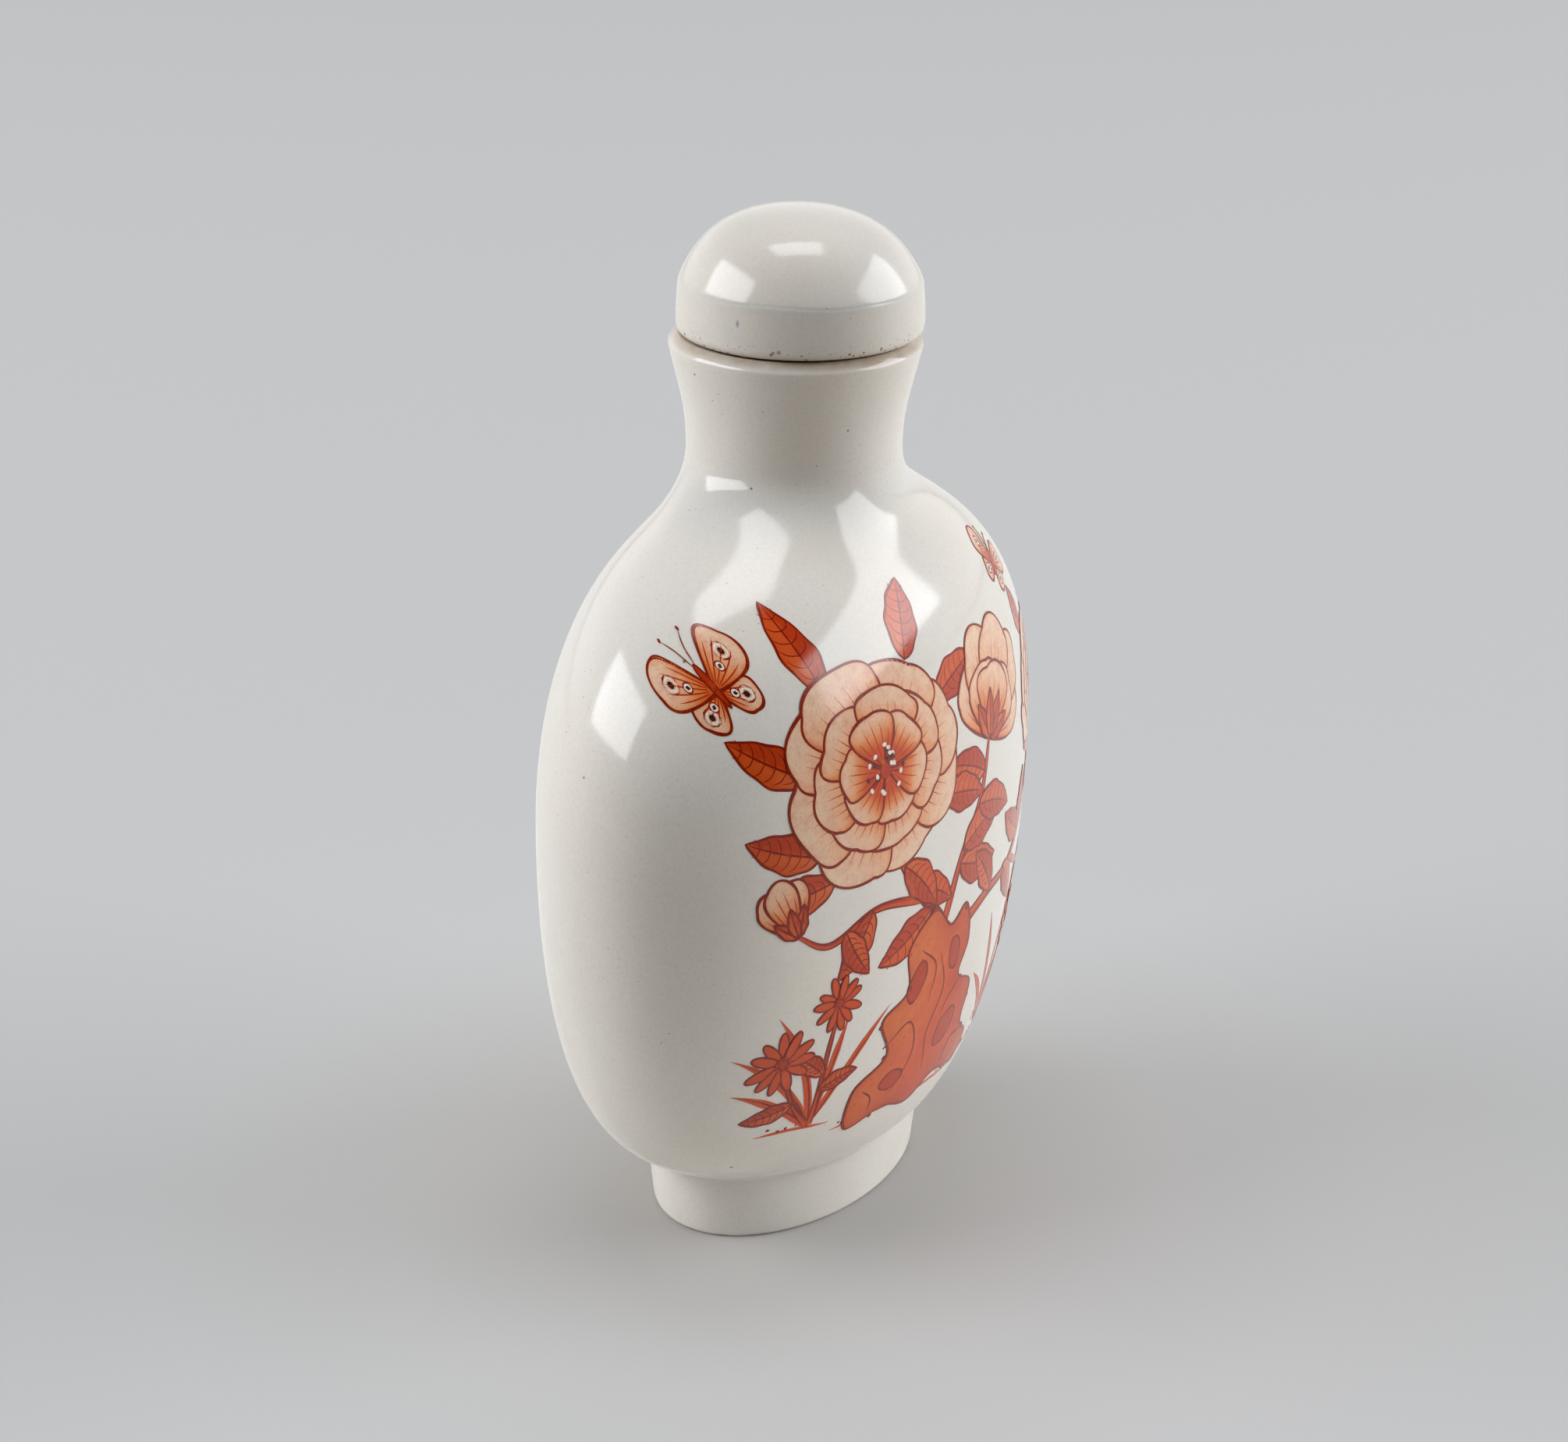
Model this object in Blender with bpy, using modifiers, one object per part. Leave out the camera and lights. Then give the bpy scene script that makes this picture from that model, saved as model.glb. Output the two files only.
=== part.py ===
"""A porcelain snuff bottle: flattened body, domed stopper, cork plug and small spoon.

Sizes are in millimetres. X runs across the broad faces, Y through them and Z up.
The origin is the middle of the oval that the foot ring stands on.
"""

from collections import namedtuple
from math import cos, pi, radians, sin

import bmesh
import bpy
import numpy as np

MM = 0.001

# Clearance between two pieces that touch on the real bottle
SEAT_GAP = 0.3

# Foot ring: the low oval wall that the bottle stands on
FOOT_HALF_WIDTH = 13.2
FOOT_HALF_DEPTH = 8.2
FOOT_HEIGHT = 5.2
FOOT_FLARE = 0.45
FOOT_THICKNESS = 1.9
FOOT_RECESS = 3.0
FOOT_ROUNDING = 0.4

# Body: an egg that is flattened front to back and hangs a little over its foot
BODY_OVERHANG = 0.75
BELLY_RISE = 25.5
BELLY_HALF_WIDTH = 25.5
BELLY_HALF_DEPTH = 14.35
HEEL_RISE = 3.1
HEEL_SPREAD = 0.7
FULLNESS_BELOW = 0.5

# Shoulder: its narrow sides draw in to the neck lower down than its broad faces do
SHOULDER_RISE = 23.15
SIDE_FULLNESS = 0.77
SIDE_SOFTNESS = 0.205
FACE_FULLNESS = 0.85
FACE_SOFTNESS = 0.35

# Neck and lip: round, waisted, and flared to a rolled edge
NECK_RADIUS = 7.36
NECK_RISE = 7.0
NECK_HOLD = 2.5
LIP_RADIUS = 8.6
LIP_FLARE = 0.8
LIP_FLARE_DROP = 3.3
LIP_ROUNDING = 0.65

# Inside: a hollow that follows the outer wall, open through the neck
WALL = 2.3
FLOOR_THICKNESS = 2.6
FLOOR_HALF_WIDTH = 7.0
FLOOR_HALF_DEPTH = 3.5
BORE_LENGTH = 9.0
MOUTH_ROUNDING = 0.5

# Cap: a dome that leans in from a low upright band, with a soft crease between them
CAP_HEIGHT = 8.2
CAP_RIM_RADIUS = 8.35
CAP_BAND_RADIUS = 8.4
CAP_BAND_BULGE_HEIGHT = 1.2
CAP_BAND_HEIGHT = 3.35
CAP_DOME_RADIUS = 8.25
CAP_DOME_LEAN = 1.18
CAP_DOME_STEEPNESS = 2.7
CAP_CROWN_FLATNESS = 5.1
CAP_RIM_ROUNDING = 0.35

# Cork plug: its head is held in the cap, its tail stops the bore
CORK_RADIUS = 5.0
CORK_TAIL_RADIUS = 4.6
CORK_LENGTH_IN_BORE = 8.0
CORK_LENGTH_IN_CAP = 1.5
CORK_BEVEL = 0.4

# Spoon: a thin shaft let into the cork, with a shallow scoop at its end
SPOON_SHAFT_RADIUS = 0.65
SPOON_SHAFT_END_RADIUS = 0.5
SPOON_LENGTH_IN_CORK = 4.0
SPOON_FLOOR_GAP = 6.4
SCOOP_LENGTH = 6.5
SCOOP_HALF_WIDTH = 1.7
SCOOP_HALF_THICKNESS = 0.42
SCOOP_SHOULDER = 2.5
SCOOP_BOWL_LENGTH = 4.6
SCOOP_BOWL_WIDTH = 2.5
SCOOP_BOWL_DEPTH = 0.45

# How finely the curves are cut
BODY_SEGMENTS = 56
CAP_SEGMENTS = 48
CORK_SEGMENTS = 32
SPOON_SEGMENTS = 16
EDGE_STEPS = 3
FACE_STEPS = 60

# Heights that follow from the sizes above
BELLY_HEIGHT = FOOT_HEIGHT + BELLY_RISE
WAIST_HEIGHT = BELLY_HEIGHT + SHOULDER_RISE
LIP_EDGE_HEIGHT = WAIST_HEIGHT + NECK_RISE
LIP_HEIGHT = LIP_EDGE_HEIGHT + LIP_ROUNDING
FLOOR_HEIGHT = FOOT_RECESS + FLOOR_THICKNESS
BORE_RADIUS = CORK_RADIUS + SEAT_GAP

# One oval slice of a lofted piece; shift moves it along X
Ring = namedtuple("Ring", "height half_width half_depth shift", defaults=(0.0,))


def mix(start, end, share):
    """The point that lies a share of the way from start to end."""
    return tuple(a + share * (b - a) for a, b in zip(start, end))


def curve(start, start_handle, end_handle, end, steps):
    """Points along a cubic curve, leaving out its first."""
    points = []
    for step in range(1, steps + 1):
        t = step / steps
        weights = (1 - t) ** 3, 3 * t * (1 - t) ** 2, 3 * t * t * (1 - t), t**3
        columns = zip(start, start_handle, end_handle, end)
        points.append(tuple(sum(w * c for w, c in zip(weights, column)) for column in columns))
    return points


def rounded_corner(start, corner, end, steps=EDGE_STEPS):
    """Points along a quarter turn from start to end round a corner, leaving out its first."""
    quarter_turn = 0.55
    handles = mix(start, corner, quarter_turn), mix(end, corner, quarter_turn)
    return curve(start, *handles, end, steps)


def oval(height, half_width, half_depth, inset=0.0):
    """One point of the body's profile, drawn in from the given half sizes."""
    return height, half_width - inset, half_depth - inset


def round_slice(height, radius):
    return height, radius, radius


def underside_profile():
    """From the middle of the recess under the base, out and down to the foot's inner edge."""
    inner = FOOT_HALF_WIDTH - FOOT_THICKNESS, FOOT_HALF_DEPTH - FOOT_THICKNESS
    ceiling_edge = oval(FOOT_RECESS, *inner, inset=2 * FOOT_ROUNDING)
    ceiling_corner = oval(FOOT_RECESS, *inner)
    wall_top = oval(FOOT_RECESS - 2 * FOOT_ROUNDING, *inner)
    points = [(FOOT_RECESS, 0.0, 0.0), mix((FOOT_RECESS, 0.0, 0.0), ceiling_edge, 0.5), ceiling_edge]
    points += rounded_corner(ceiling_edge, ceiling_corner, wall_top)
    points.append(oval(FOOT_ROUNDING, *inner))
    face_edge = oval(0.0, *inner, inset=-FOOT_ROUNDING)
    return points + rounded_corner(points[-1], oval(0.0, *inner), face_edge)


def foot_profile():
    """From the bearing face's outer edge, up the foot wall to the crease under the body."""
    foot = FOOT_HALF_WIDTH, FOOT_HALF_DEPTH
    points = [oval(0.0, *foot, inset=FOOT_ROUNDING)]
    points += rounded_corner(points[0], oval(0.0, *foot), oval(FOOT_ROUNDING, *foot))
    points.append(oval(FOOT_HEIGHT / 2, *foot, inset=-FOOT_FLARE / 2))
    points.append(oval(FOOT_HEIGHT - FOOT_ROUNDING, *foot, inset=-FOOT_FLARE))
    crease = oval(FOOT_HEIGHT, *foot, inset=-FOOT_FLARE - BODY_OVERHANG)
    return points + [mix(points[-1], crease, 0.5), crease]


def shoulder_profile(belly, neck, drop, steps):
    """From the belly up to a round slice, leaving out its first point."""
    rise = neck[0] - belly[0]
    sides = curve(
        (belly[0], belly[1]),
        (belly[0] + SIDE_FULLNESS * rise - drop, belly[1]),
        (neck[0] - SIDE_SOFTNESS * rise, neck[1]),
        (neck[0], neck[1]),
        steps,
    )
    faces = curve(
        (belly[0], belly[2]),
        (belly[0] + FACE_FULLNESS * rise - drop, belly[2]),
        (neck[0] - FACE_SOFTNESS * rise, neck[2]),
        (neck[0], neck[2]),
        FACE_STEPS,
    )
    heights, half_depths = zip((belly[0], belly[2]), *faces)
    return [(height, width, float(np.interp(height, heights, half_depths))) for height, width in sides]


def body_profile():
    """From the crease over the foot, round the belly and shoulder to the neck's waist."""
    spread = FOOT_FLARE + BODY_OVERHANG
    heel = oval(FOOT_HEIGHT, FOOT_HALF_WIDTH, FOOT_HALF_DEPTH, inset=-spread)
    belly = oval(BELLY_HEIGHT, BELLY_HALF_WIDTH, BELLY_HALF_DEPTH)
    waist = round_slice(WAIST_HEIGHT, NECK_RADIUS)
    heel_handle = (FOOT_HEIGHT + HEEL_RISE, *mix(heel, belly, HEEL_SPREAD)[1:])
    belly_handle = (BELLY_HEIGHT - FULLNESS_BELOW * BELLY_RISE, *belly[1:])
    points = curve(heel, heel_handle, belly_handle, belly, 11)
    return points + shoulder_profile(belly, waist, 0.0, 18)


def lip_profile():
    """From the neck's waist, out to the rolled lip and over into the mouth."""
    waist = round_slice(WAIST_HEIGHT, NECK_RADIUS)
    waist_handle = round_slice(WAIST_HEIGHT + NECK_HOLD, NECK_RADIUS)
    lip_handle = round_slice(LIP_EDGE_HEIGHT - LIP_FLARE_DROP, LIP_RADIUS - LIP_FLARE)
    lip_edge = round_slice(LIP_EDGE_HEIGHT, LIP_RADIUS)
    face_edge = round_slice(LIP_HEIGHT, LIP_RADIUS - LIP_ROUNDING)
    mouth_edge = round_slice(LIP_HEIGHT, BORE_RADIUS + MOUTH_ROUNDING)
    bore_top = round_slice(LIP_HEIGHT - MOUTH_ROUNDING, BORE_RADIUS)
    points = curve(waist, waist_handle, lip_handle, lip_edge, 7)
    points += rounded_corner(lip_edge, round_slice(LIP_HEIGHT, LIP_RADIUS), face_edge)
    points.append(mouth_edge)
    return points + rounded_corner(mouth_edge, round_slice(LIP_HEIGHT, BORE_RADIUS), bore_top)


def hollow_profile():
    """From the bore, down round the inside of the belly to the middle of the floor."""
    bore_end = round_slice(LIP_HEIGHT - BORE_LENGTH, BORE_RADIUS)
    belly = oval(BELLY_HEIGHT, BELLY_HALF_WIDTH, BELLY_HALF_DEPTH, inset=WALL)
    floor = oval(FLOOR_HEIGHT, FLOOR_HALF_WIDTH, FLOOR_HALF_DEPTH)
    belly_handle = (BELLY_HEIGHT - FULLNESS_BELOW * (BELLY_HEIGHT - FLOOR_HEIGHT), *belly[1:])
    floor_handle = (FLOOR_HEIGHT, *mix(floor, belly, HEEL_SPREAD)[1:])
    points = shoulder_profile(belly, bore_end, WALL, 13)[::-1] + [belly]
    points += curve(belly, belly_handle, floor_handle, floor, 11)
    return points + [mix(floor, (FLOOR_HEIGHT, 0.0, 0.0), 0.5), (FLOOR_HEIGHT, 0.0, 0.0)]


def bottle_rings():
    profile = underside_profile() + foot_profile() + body_profile() + lip_profile() + hollow_profile()
    return [Ring(*point) for point in profile]


def loft(name, rings, segments):
    """One closed skin over a row of oval rings; a ring of no width is a point."""
    form = bmesh.new()
    loops = []
    for ring in rings:
        count = segments if ring.half_width > 0 else 1
        loop = []
        for step in range(count):
            angle = 2 * pi * step / segments
            x = ring.shift + ring.half_width * cos(angle)
            y = ring.half_depth * sin(angle)
            loop.append(form.verts.new((x * MM, y * MM, ring.height * MM)))
        loops.append(loop)
    for low, high in zip(loops, loops[1:]):
        for step in range(segments):
            after = (step + 1) % segments
            corners = low[step % len(low)], low[after % len(low)]
            corners += high[after % len(high)], high[step % len(high)]
            form.faces.new(list(dict.fromkeys(corners)))
    bmesh.ops.recalc_face_normals(form, faces=form.faces)
    mesh = bpy.data.meshes.new(name)
    form.to_mesh(mesh)
    form.free()
    mesh.shade_smooth()
    mesh.set_sharp_from_angle(angle=radians(50))
    return bpy.data.objects.new(name, mesh)


def turned(name, outline, segments):
    """A lathe-turned solid from (radius, height) points that run down its outer side."""
    mesh = bpy.data.meshes.new(name)
    points = [(radius * MM, 0.0, height * MM) for radius, height in outline]
    edges = [(i, i + 1) for i in range(len(points) - 1)]
    mesh.from_pydata(points, edges, [])
    piece = bpy.data.objects.new(name, mesh)
    turn = piece.modifiers.new("turn", "SCREW")
    turn.axis = "Z"
    turn.steps = segments
    turn.render_steps = segments
    turn.use_merge_vertices = True
    turn.merge_threshold = 0.00001
    turn.use_smooth_shade = True
    return piece


def glazed_porcelain(name):
    return material(name, (0.78, 0.75, 0.70, 1.0), roughness=0.12)


def material(name, colour, roughness):
    finish = bpy.data.materials.new(name)
    finish.use_nodes = True
    shader = finish.node_tree.nodes["Principled BSDF"]
    shader.inputs["Base Color"].default_value = colour
    shader.inputs["Roughness"].default_value = roughness
    shader.inputs["Metallic"].default_value = 0.0
    return finish


def add_piece(piece, finish, collection, holder=None):
    piece.data.materials.append(finish)
    piece.parent = holder
    collection.objects.link(piece)
    return piece


def make_bottle(collection):
    body = loft("bottle_body", bottle_rings(), BODY_SEGMENTS)
    return add_piece(body, glazed_porcelain("body_glaze"), collection)


def cap_outline():
    """(radius, height) points above the lip: crown, dome, band, rim, cork seat."""
    bottom = SEAT_GAP
    top = bottom + CAP_HEIGHT
    band_top = bottom + CAP_BAND_HEIGHT
    bulge = (CAP_BAND_RADIUS, bottom + CAP_BAND_BULGE_HEIGHT)
    seat_radius = CORK_RADIUS + SEAT_GAP
    seat_top = bottom + CORK_LENGTH_IN_CAP + SEAT_GAP
    crown = (0.0, top)
    crease = (CAP_DOME_RADIUS, band_top)
    rim_side = (CAP_RIM_RADIUS, bottom + CAP_RIM_ROUNDING)
    rim_face = (CAP_RIM_RADIUS - CAP_RIM_ROUNDING, bottom)
    crown_handle = (CAP_CROWN_FLATNESS, top)
    dome_handle = (CAP_DOME_RADIUS - CAP_DOME_LEAN, band_top + CAP_DOME_STEEPNESS)
    points = [crown] + curve(crown, crown_handle, dome_handle, crease, 13)
    points += curve(crease, bulge, bulge, rim_side, 5)
    points += rounded_corner(rim_side, (CAP_RIM_RADIUS, bottom), rim_face)
    return points + [(seat_radius, bottom), (seat_radius, seat_top), (0.0, seat_top)]


def make_cap(collection, holder):
    cap = turned("stopper_cap", cap_outline(), CAP_SEGMENTS)
    return add_piece(cap, glazed_porcelain("cap_glaze"), collection, holder)


def cork_outline():
    """(radius, height) points above the lip: head, tapered side, tail, spoon hole."""
    top = SEAT_GAP + CORK_LENGTH_IN_CAP
    bottom = -CORK_LENGTH_IN_BORE
    hole_radius = SPOON_SHAFT_RADIUS + SEAT_GAP
    hole_top = bottom + SPOON_LENGTH_IN_CORK + SEAT_GAP
    head_face = (CORK_RADIUS - CORK_BEVEL, top)
    head_side = (CORK_RADIUS, top - CORK_BEVEL)
    tail_side = (CORK_TAIL_RADIUS, bottom + CORK_BEVEL)
    tail_face = (CORK_TAIL_RADIUS - CORK_BEVEL, bottom)
    points = [(0.0, top), head_face]
    points += rounded_corner(head_face, (CORK_RADIUS, top), head_side)
    points += [mix(head_side, tail_side, 0.5), tail_side]
    points += rounded_corner(tail_side, (CORK_TAIL_RADIUS, bottom), tail_face)
    return points + [(hole_radius, bottom), (hole_radius, hole_top), (0.0, hole_top)]


def make_cork(collection, holder):
    cork = turned("stopper_cork", cork_outline(), CORK_SEGMENTS)
    return add_piece(cork, material("cork", (0.42, 0.27, 0.15, 1.0), 0.9), collection, holder)


def spoon_rings():
    """Rings up the spoon, with heights above the lip; its scoop is thin along X."""
    tip = FLOOR_HEIGHT + SPOON_FLOOR_GAP - LIP_HEIGHT
    widest = tip + SCOOP_LENGTH / 2
    scoop_top = tip + SCOOP_LENGTH
    shaft_foot = scoop_top + SCOOP_SHOULDER
    top = SPOON_LENGTH_IN_CORK - CORK_LENGTH_IN_BORE
    rings = [Ring(tip, 0.0, 0.0)]
    steps = 8
    for step in range(1, steps + 1):
        angle = pi / 2 * step / steps
        height = tip + (widest - tip) * (1 - cos(angle))
        rings.append(Ring(height, SCOOP_HALF_THICKNESS * sin(angle), SCOOP_HALF_WIDTH * sin(angle)))
    wide = (widest, SCOOP_HALF_THICKNESS, SCOOP_HALF_WIDTH)
    narrow = (shaft_foot, SPOON_SHAFT_END_RADIUS, SPOON_SHAFT_END_RADIUS)
    handles = (scoop_top, *wide[1:]), (scoop_top, *narrow[1:])
    rings += [Ring(*point) for point in curve(wide, *handles, narrow, 8)]
    rings += [Ring(top, SPOON_SHAFT_RADIUS, SPOON_SHAFT_RADIUS), Ring(top, 0.0, 0.0)]
    return rings


def scoop_hollow(collection, holder):
    """The shape that hollows the scoop, from its +X side."""
    centre_height = FLOOR_HEIGHT + SPOON_FLOOR_GAP - LIP_HEIGHT + SCOOP_LENGTH / 2
    bpy.ops.mesh.primitive_uv_sphere_add(segments=24, ring_count=12, radius=0.5)
    hollow = bpy.context.object
    hollow.name = "scoop_hollow"
    sizes = 2 * SCOOP_BOWL_DEPTH * MM, SCOOP_BOWL_WIDTH * MM, SCOOP_BOWL_LENGTH * MM
    for vertex in hollow.data.vertices:
        vertex.co = [c * size for c, size in zip(vertex.co, sizes)]
    hollow.location = (SCOOP_HALF_THICKNESS * MM, 0.0, centre_height * MM)
    hollow.parent = holder
    hollow.hide_render = True
    hollow.display_type = "WIRE"
    for owner in list(hollow.users_collection):
        owner.objects.unlink(hollow)
    collection.objects.link(hollow)
    return hollow


def make_spoon(collection, cutters, holder):
    spoon = loft("snuff_spoon", spoon_rings(), SPOON_SEGMENTS)
    add_piece(spoon, material("bone", (0.74, 0.64, 0.47, 1.0), 0.5), collection, holder)
    cut = spoon.modifiers.new("scoop", "BOOLEAN")
    cut.operation = "DIFFERENCE"
    cut.object = scoop_hollow(cutters, holder)
    return spoon


def make_stopper_axis(collection):
    """The empty that carries the stopper's pieces, on the line along which it lifts out."""
    axis = bpy.data.objects.new("stopper_axis", None)
    axis.empty_display_size = LIP_RADIUS * MM
    axis.location = (0.0, 0.0, LIP_HEIGHT * MM)
    collection.objects.link(axis)
    return axis


def clear_scene():
    for thing in list(bpy.data.objects):
        bpy.data.objects.remove(thing, do_unlink=True)


def new_collection(name):
    collection = bpy.data.collections.new(name)
    bpy.context.scene.collection.children.link(collection)
    return collection


def main():
    clear_scene()
    parts = new_collection("snuff_bottle")
    cutters = new_collection("snuff_bottle_cutters")
    make_bottle(parts)
    stopper_axis = make_stopper_axis(parts)
    make_cap(parts, stopper_axis)
    make_cork(parts, stopper_axis)
    make_spoon(parts, cutters, stopper_axis)


main()
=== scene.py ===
"""Looks for the porcelain snuff bottle: glaze, iron-red enamel flowers, cork, bone, studio.

Sizes are in millimetres unless a name says otherwise. X runs across the broad faces, Y through
them and Z up, and the enamel is on the face towards -Y.
"""

from math import cos, pi, radians, sin, sqrt, tan

import bpy
import numpy as np
from mathutils import Matrix, Quaternion, Vector
from mathutils.geometry import delaunay_2d_cdt


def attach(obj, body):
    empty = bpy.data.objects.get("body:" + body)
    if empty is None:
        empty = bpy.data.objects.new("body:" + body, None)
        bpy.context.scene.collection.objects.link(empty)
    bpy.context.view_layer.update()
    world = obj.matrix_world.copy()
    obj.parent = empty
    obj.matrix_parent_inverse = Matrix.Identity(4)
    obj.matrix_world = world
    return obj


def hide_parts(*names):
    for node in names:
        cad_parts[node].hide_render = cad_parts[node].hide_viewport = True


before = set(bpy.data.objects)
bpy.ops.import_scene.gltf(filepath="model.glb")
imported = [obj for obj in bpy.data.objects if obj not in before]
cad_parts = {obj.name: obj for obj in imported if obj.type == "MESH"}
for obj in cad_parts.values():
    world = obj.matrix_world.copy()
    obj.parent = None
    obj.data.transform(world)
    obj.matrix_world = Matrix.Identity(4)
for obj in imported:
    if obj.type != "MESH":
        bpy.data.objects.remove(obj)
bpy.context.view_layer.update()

MM = 0.001

# The solids' own measures
SEAT_GAP = 0.3
FOOT_HALF_WIDTH, FOOT_HALF_DEPTH, FOOT_HEIGHT = 13.2, 8.2, 5.2
FOOT_FLARE, FOOT_THICKNESS, FOOT_RECESS, FOOT_ROUNDING = 0.45, 1.9, 3.0, 0.4
BODY_OVERHANG = 0.75
BELLY_RISE, BELLY_HALF_WIDTH, BELLY_HALF_DEPTH = 25.5, 25.5, 14.35
HEEL_RISE, HEEL_SPREAD, FULLNESS_BELOW = 3.1, 0.7, 0.5
SHOULDER_RISE, SIDE_FULLNESS, SIDE_SOFTNESS = 23.15, 0.77, 0.205
FACE_FULLNESS, FACE_SOFTNESS = 0.85, 0.35
NECK_RADIUS, NECK_RISE, NECK_HOLD = 7.36, 7.0, 2.5
LIP_RADIUS, LIP_FLARE, LIP_FLARE_DROP, LIP_ROUNDING = 8.6, 0.8, 3.3, 0.65
LIP_CROWN = 0.07
WALL, FLOOR_THICKNESS, FLOOR_HALF_WIDTH, FLOOR_HALF_DEPTH = 2.3, 2.6, 7.0, 3.5
BORE_LENGTH, MOUTH_ROUNDING = 9.0, 0.5
CAP_HEIGHT, CAP_RIM_RADIUS, CAP_RIM_ROUNDING = 8.2, 8.35, 0.5
CAP_BAND_RADIUS, CAP_BAND_BULGE_HEIGHT, CAP_BAND_HEIGHT = 8.4, 1.2, 3.35
CAP_DOME_RADIUS, CAP_DOME_LEAN, CAP_DOME_STEEPNESS, CAP_CROWN_FLATNESS = 8.25, 1.18, 2.7, 5.1
CORK_RADIUS, CORK_TAIL_RADIUS, CORK_BEVEL = 5.0, 4.6, 0.4
CORK_LENGTH_IN_BORE, CORK_LENGTH_IN_CAP = 8.0, 1.5
SPOON_SHAFT_RADIUS, SPOON_SHAFT_END_RADIUS, SPOON_LENGTH_IN_CORK = 0.65, 0.5, 4.0
SPOON_FLOOR_GAP, SCOOP_LENGTH, SCOOP_HALF_WIDTH, SCOOP_HALF_THICKNESS = 6.4, 6.5, 1.7, 0.42
SCOOP_SHOULDER, SCOOP_BOWL_LENGTH, SCOOP_BOWL_WIDTH, SCOOP_BOWL_DEPTH = 2.5, 4.6, 2.5, 0.45

BELLY_HEIGHT = FOOT_HEIGHT + BELLY_RISE
WAIST_HEIGHT = BELLY_HEIGHT + SHOULDER_RISE
LIP_EDGE_HEIGHT = WAIST_HEIGHT + NECK_RISE
LIP_HEIGHT = LIP_EDGE_HEIGHT + LIP_ROUNDING
FLOOR_HEIGHT = FOOT_RECESS + FLOOR_THICKNESS
BORE_RADIUS = CORK_RADIUS + SEAT_GAP
CAP_BOTTOM = LIP_HEIGHT + SEAT_GAP

# The camera: where the photograph was taken from
VIEW_AZIMUTH, VIEW_ELEVATION, VIEW_ROLL = -63.99, 20.96, 0.91
VIEW_DISTANCE, VIEW_TARGET_HEIGHT, VIEW_SLIDE, VIEW_RISE = 260.0, 35.0, -0.51, -1.18
LENS, SENSOR_WIDTH = 86.3, 36.0
CLIP_START_METRES, CLIP_END_METRES = 0.01, 20.0

# How finely the skins are cut
BODY_SEGMENTS, CAP_SEGMENTS, CORK_SEGMENTS, SPOON_SEGMENTS = 224, 176, 96, 40
FACE_STEPS = 600


def mix(start, end, share):
    return tuple(a + share * (b - a) for a, b in zip(start, end))


def curve(start, start_handle, end_handle, end, steps):
    """Points along a cubic curve, leaving out its first."""
    t = np.linspace(0, 1, steps + 1)[1:, None]
    ends = [np.array(point, float) for point in (start, start_handle, end_handle, end)]
    weights = (1 - t) ** 3, 3 * t * (1 - t) ** 2, 3 * t * t * (1 - t), t**3
    return [tuple(row) for row in sum(w * e for w, e in zip(weights, ends))]


def rounded_corner(start, corner, end, steps):
    quarter_turn = 0.55
    handles = [mix(point, corner, quarter_turn) for point in (start, end)]
    return curve(start, *handles, end, steps)


def line(start, end, steps):
    """Points on a straight run, leaving out its first."""
    return [mix(start, end, (step + 1) / steps) for step in range(steps)]


def route(start, *legs):
    """Points by straight legs, (steps, end), and by rounded ones, (steps, corner, end)."""
    points = [start]
    for steps, *stops in legs:
        leg = line if len(stops) == 1 else rounded_corner
        points += leg(points[-1], *stops, steps)
    return points


def oval(height, half_width, half_depth, inset=0.0):
    return height, half_width - inset, half_depth - inset


def round_slice(height, radius):
    return height, radius, radius


def underside_profile():
    inner = FOOT_HALF_WIDTH - FOOT_THICKNESS, FOOT_HALF_DEPTH - FOOT_THICKNESS
    return route(
        (FOOT_RECESS, 0.0, 0.0),
        (8, oval(FOOT_RECESS, *inner, inset=2 * FOOT_ROUNDING)),
        (8, oval(FOOT_RECESS, *inner), oval(FOOT_RECESS - 2 * FOOT_ROUNDING, *inner)),
        (4, oval(FOOT_ROUNDING, *inner)),
        (5, oval(0.0, *inner), oval(0.0, *inner, inset=-FOOT_ROUNDING)),
    )


def foot_profile():
    foot = FOOT_HALF_WIDTH, FOOT_HALF_DEPTH
    return route(
        oval(0.0, *foot, inset=FOOT_ROUNDING),
        (5, oval(0.0, *foot), oval(FOOT_ROUNDING, *foot)),
        (14, oval(FOOT_HEIGHT - FOOT_ROUNDING, *foot, inset=-FOOT_FLARE)),
        (4, oval(FOOT_HEIGHT, *foot, inset=-FOOT_FLARE - BODY_OVERHANG)),
    )


def shoulder_profile(belly, neck, drop, steps):
    """From the belly up to a round slice; the broad faces draw in higher up than the sides."""
    rise = neck[0] - belly[0]
    side = SIDE_FULLNESS, SIDE_SOFTNESS, steps
    face = FACE_FULLNESS, FACE_SOFTNESS, FACE_STEPS
    rows = []
    for part, (fullness, softness, count) in enumerate((side, face), 1):
        start, end = (belly[0], belly[part]), (neck[0], neck[part])
        handles = (start[0] + fullness * rise - drop, start[1]), (end[0] - softness * rise, end[1])
        rows.append(curve(start, *handles, end, count))
    heights, half_depths = zip((belly[0], belly[2]), *rows[1])
    return [(*row, float(np.interp(row[0], heights, half_depths))) for row in rows[0]]


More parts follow.
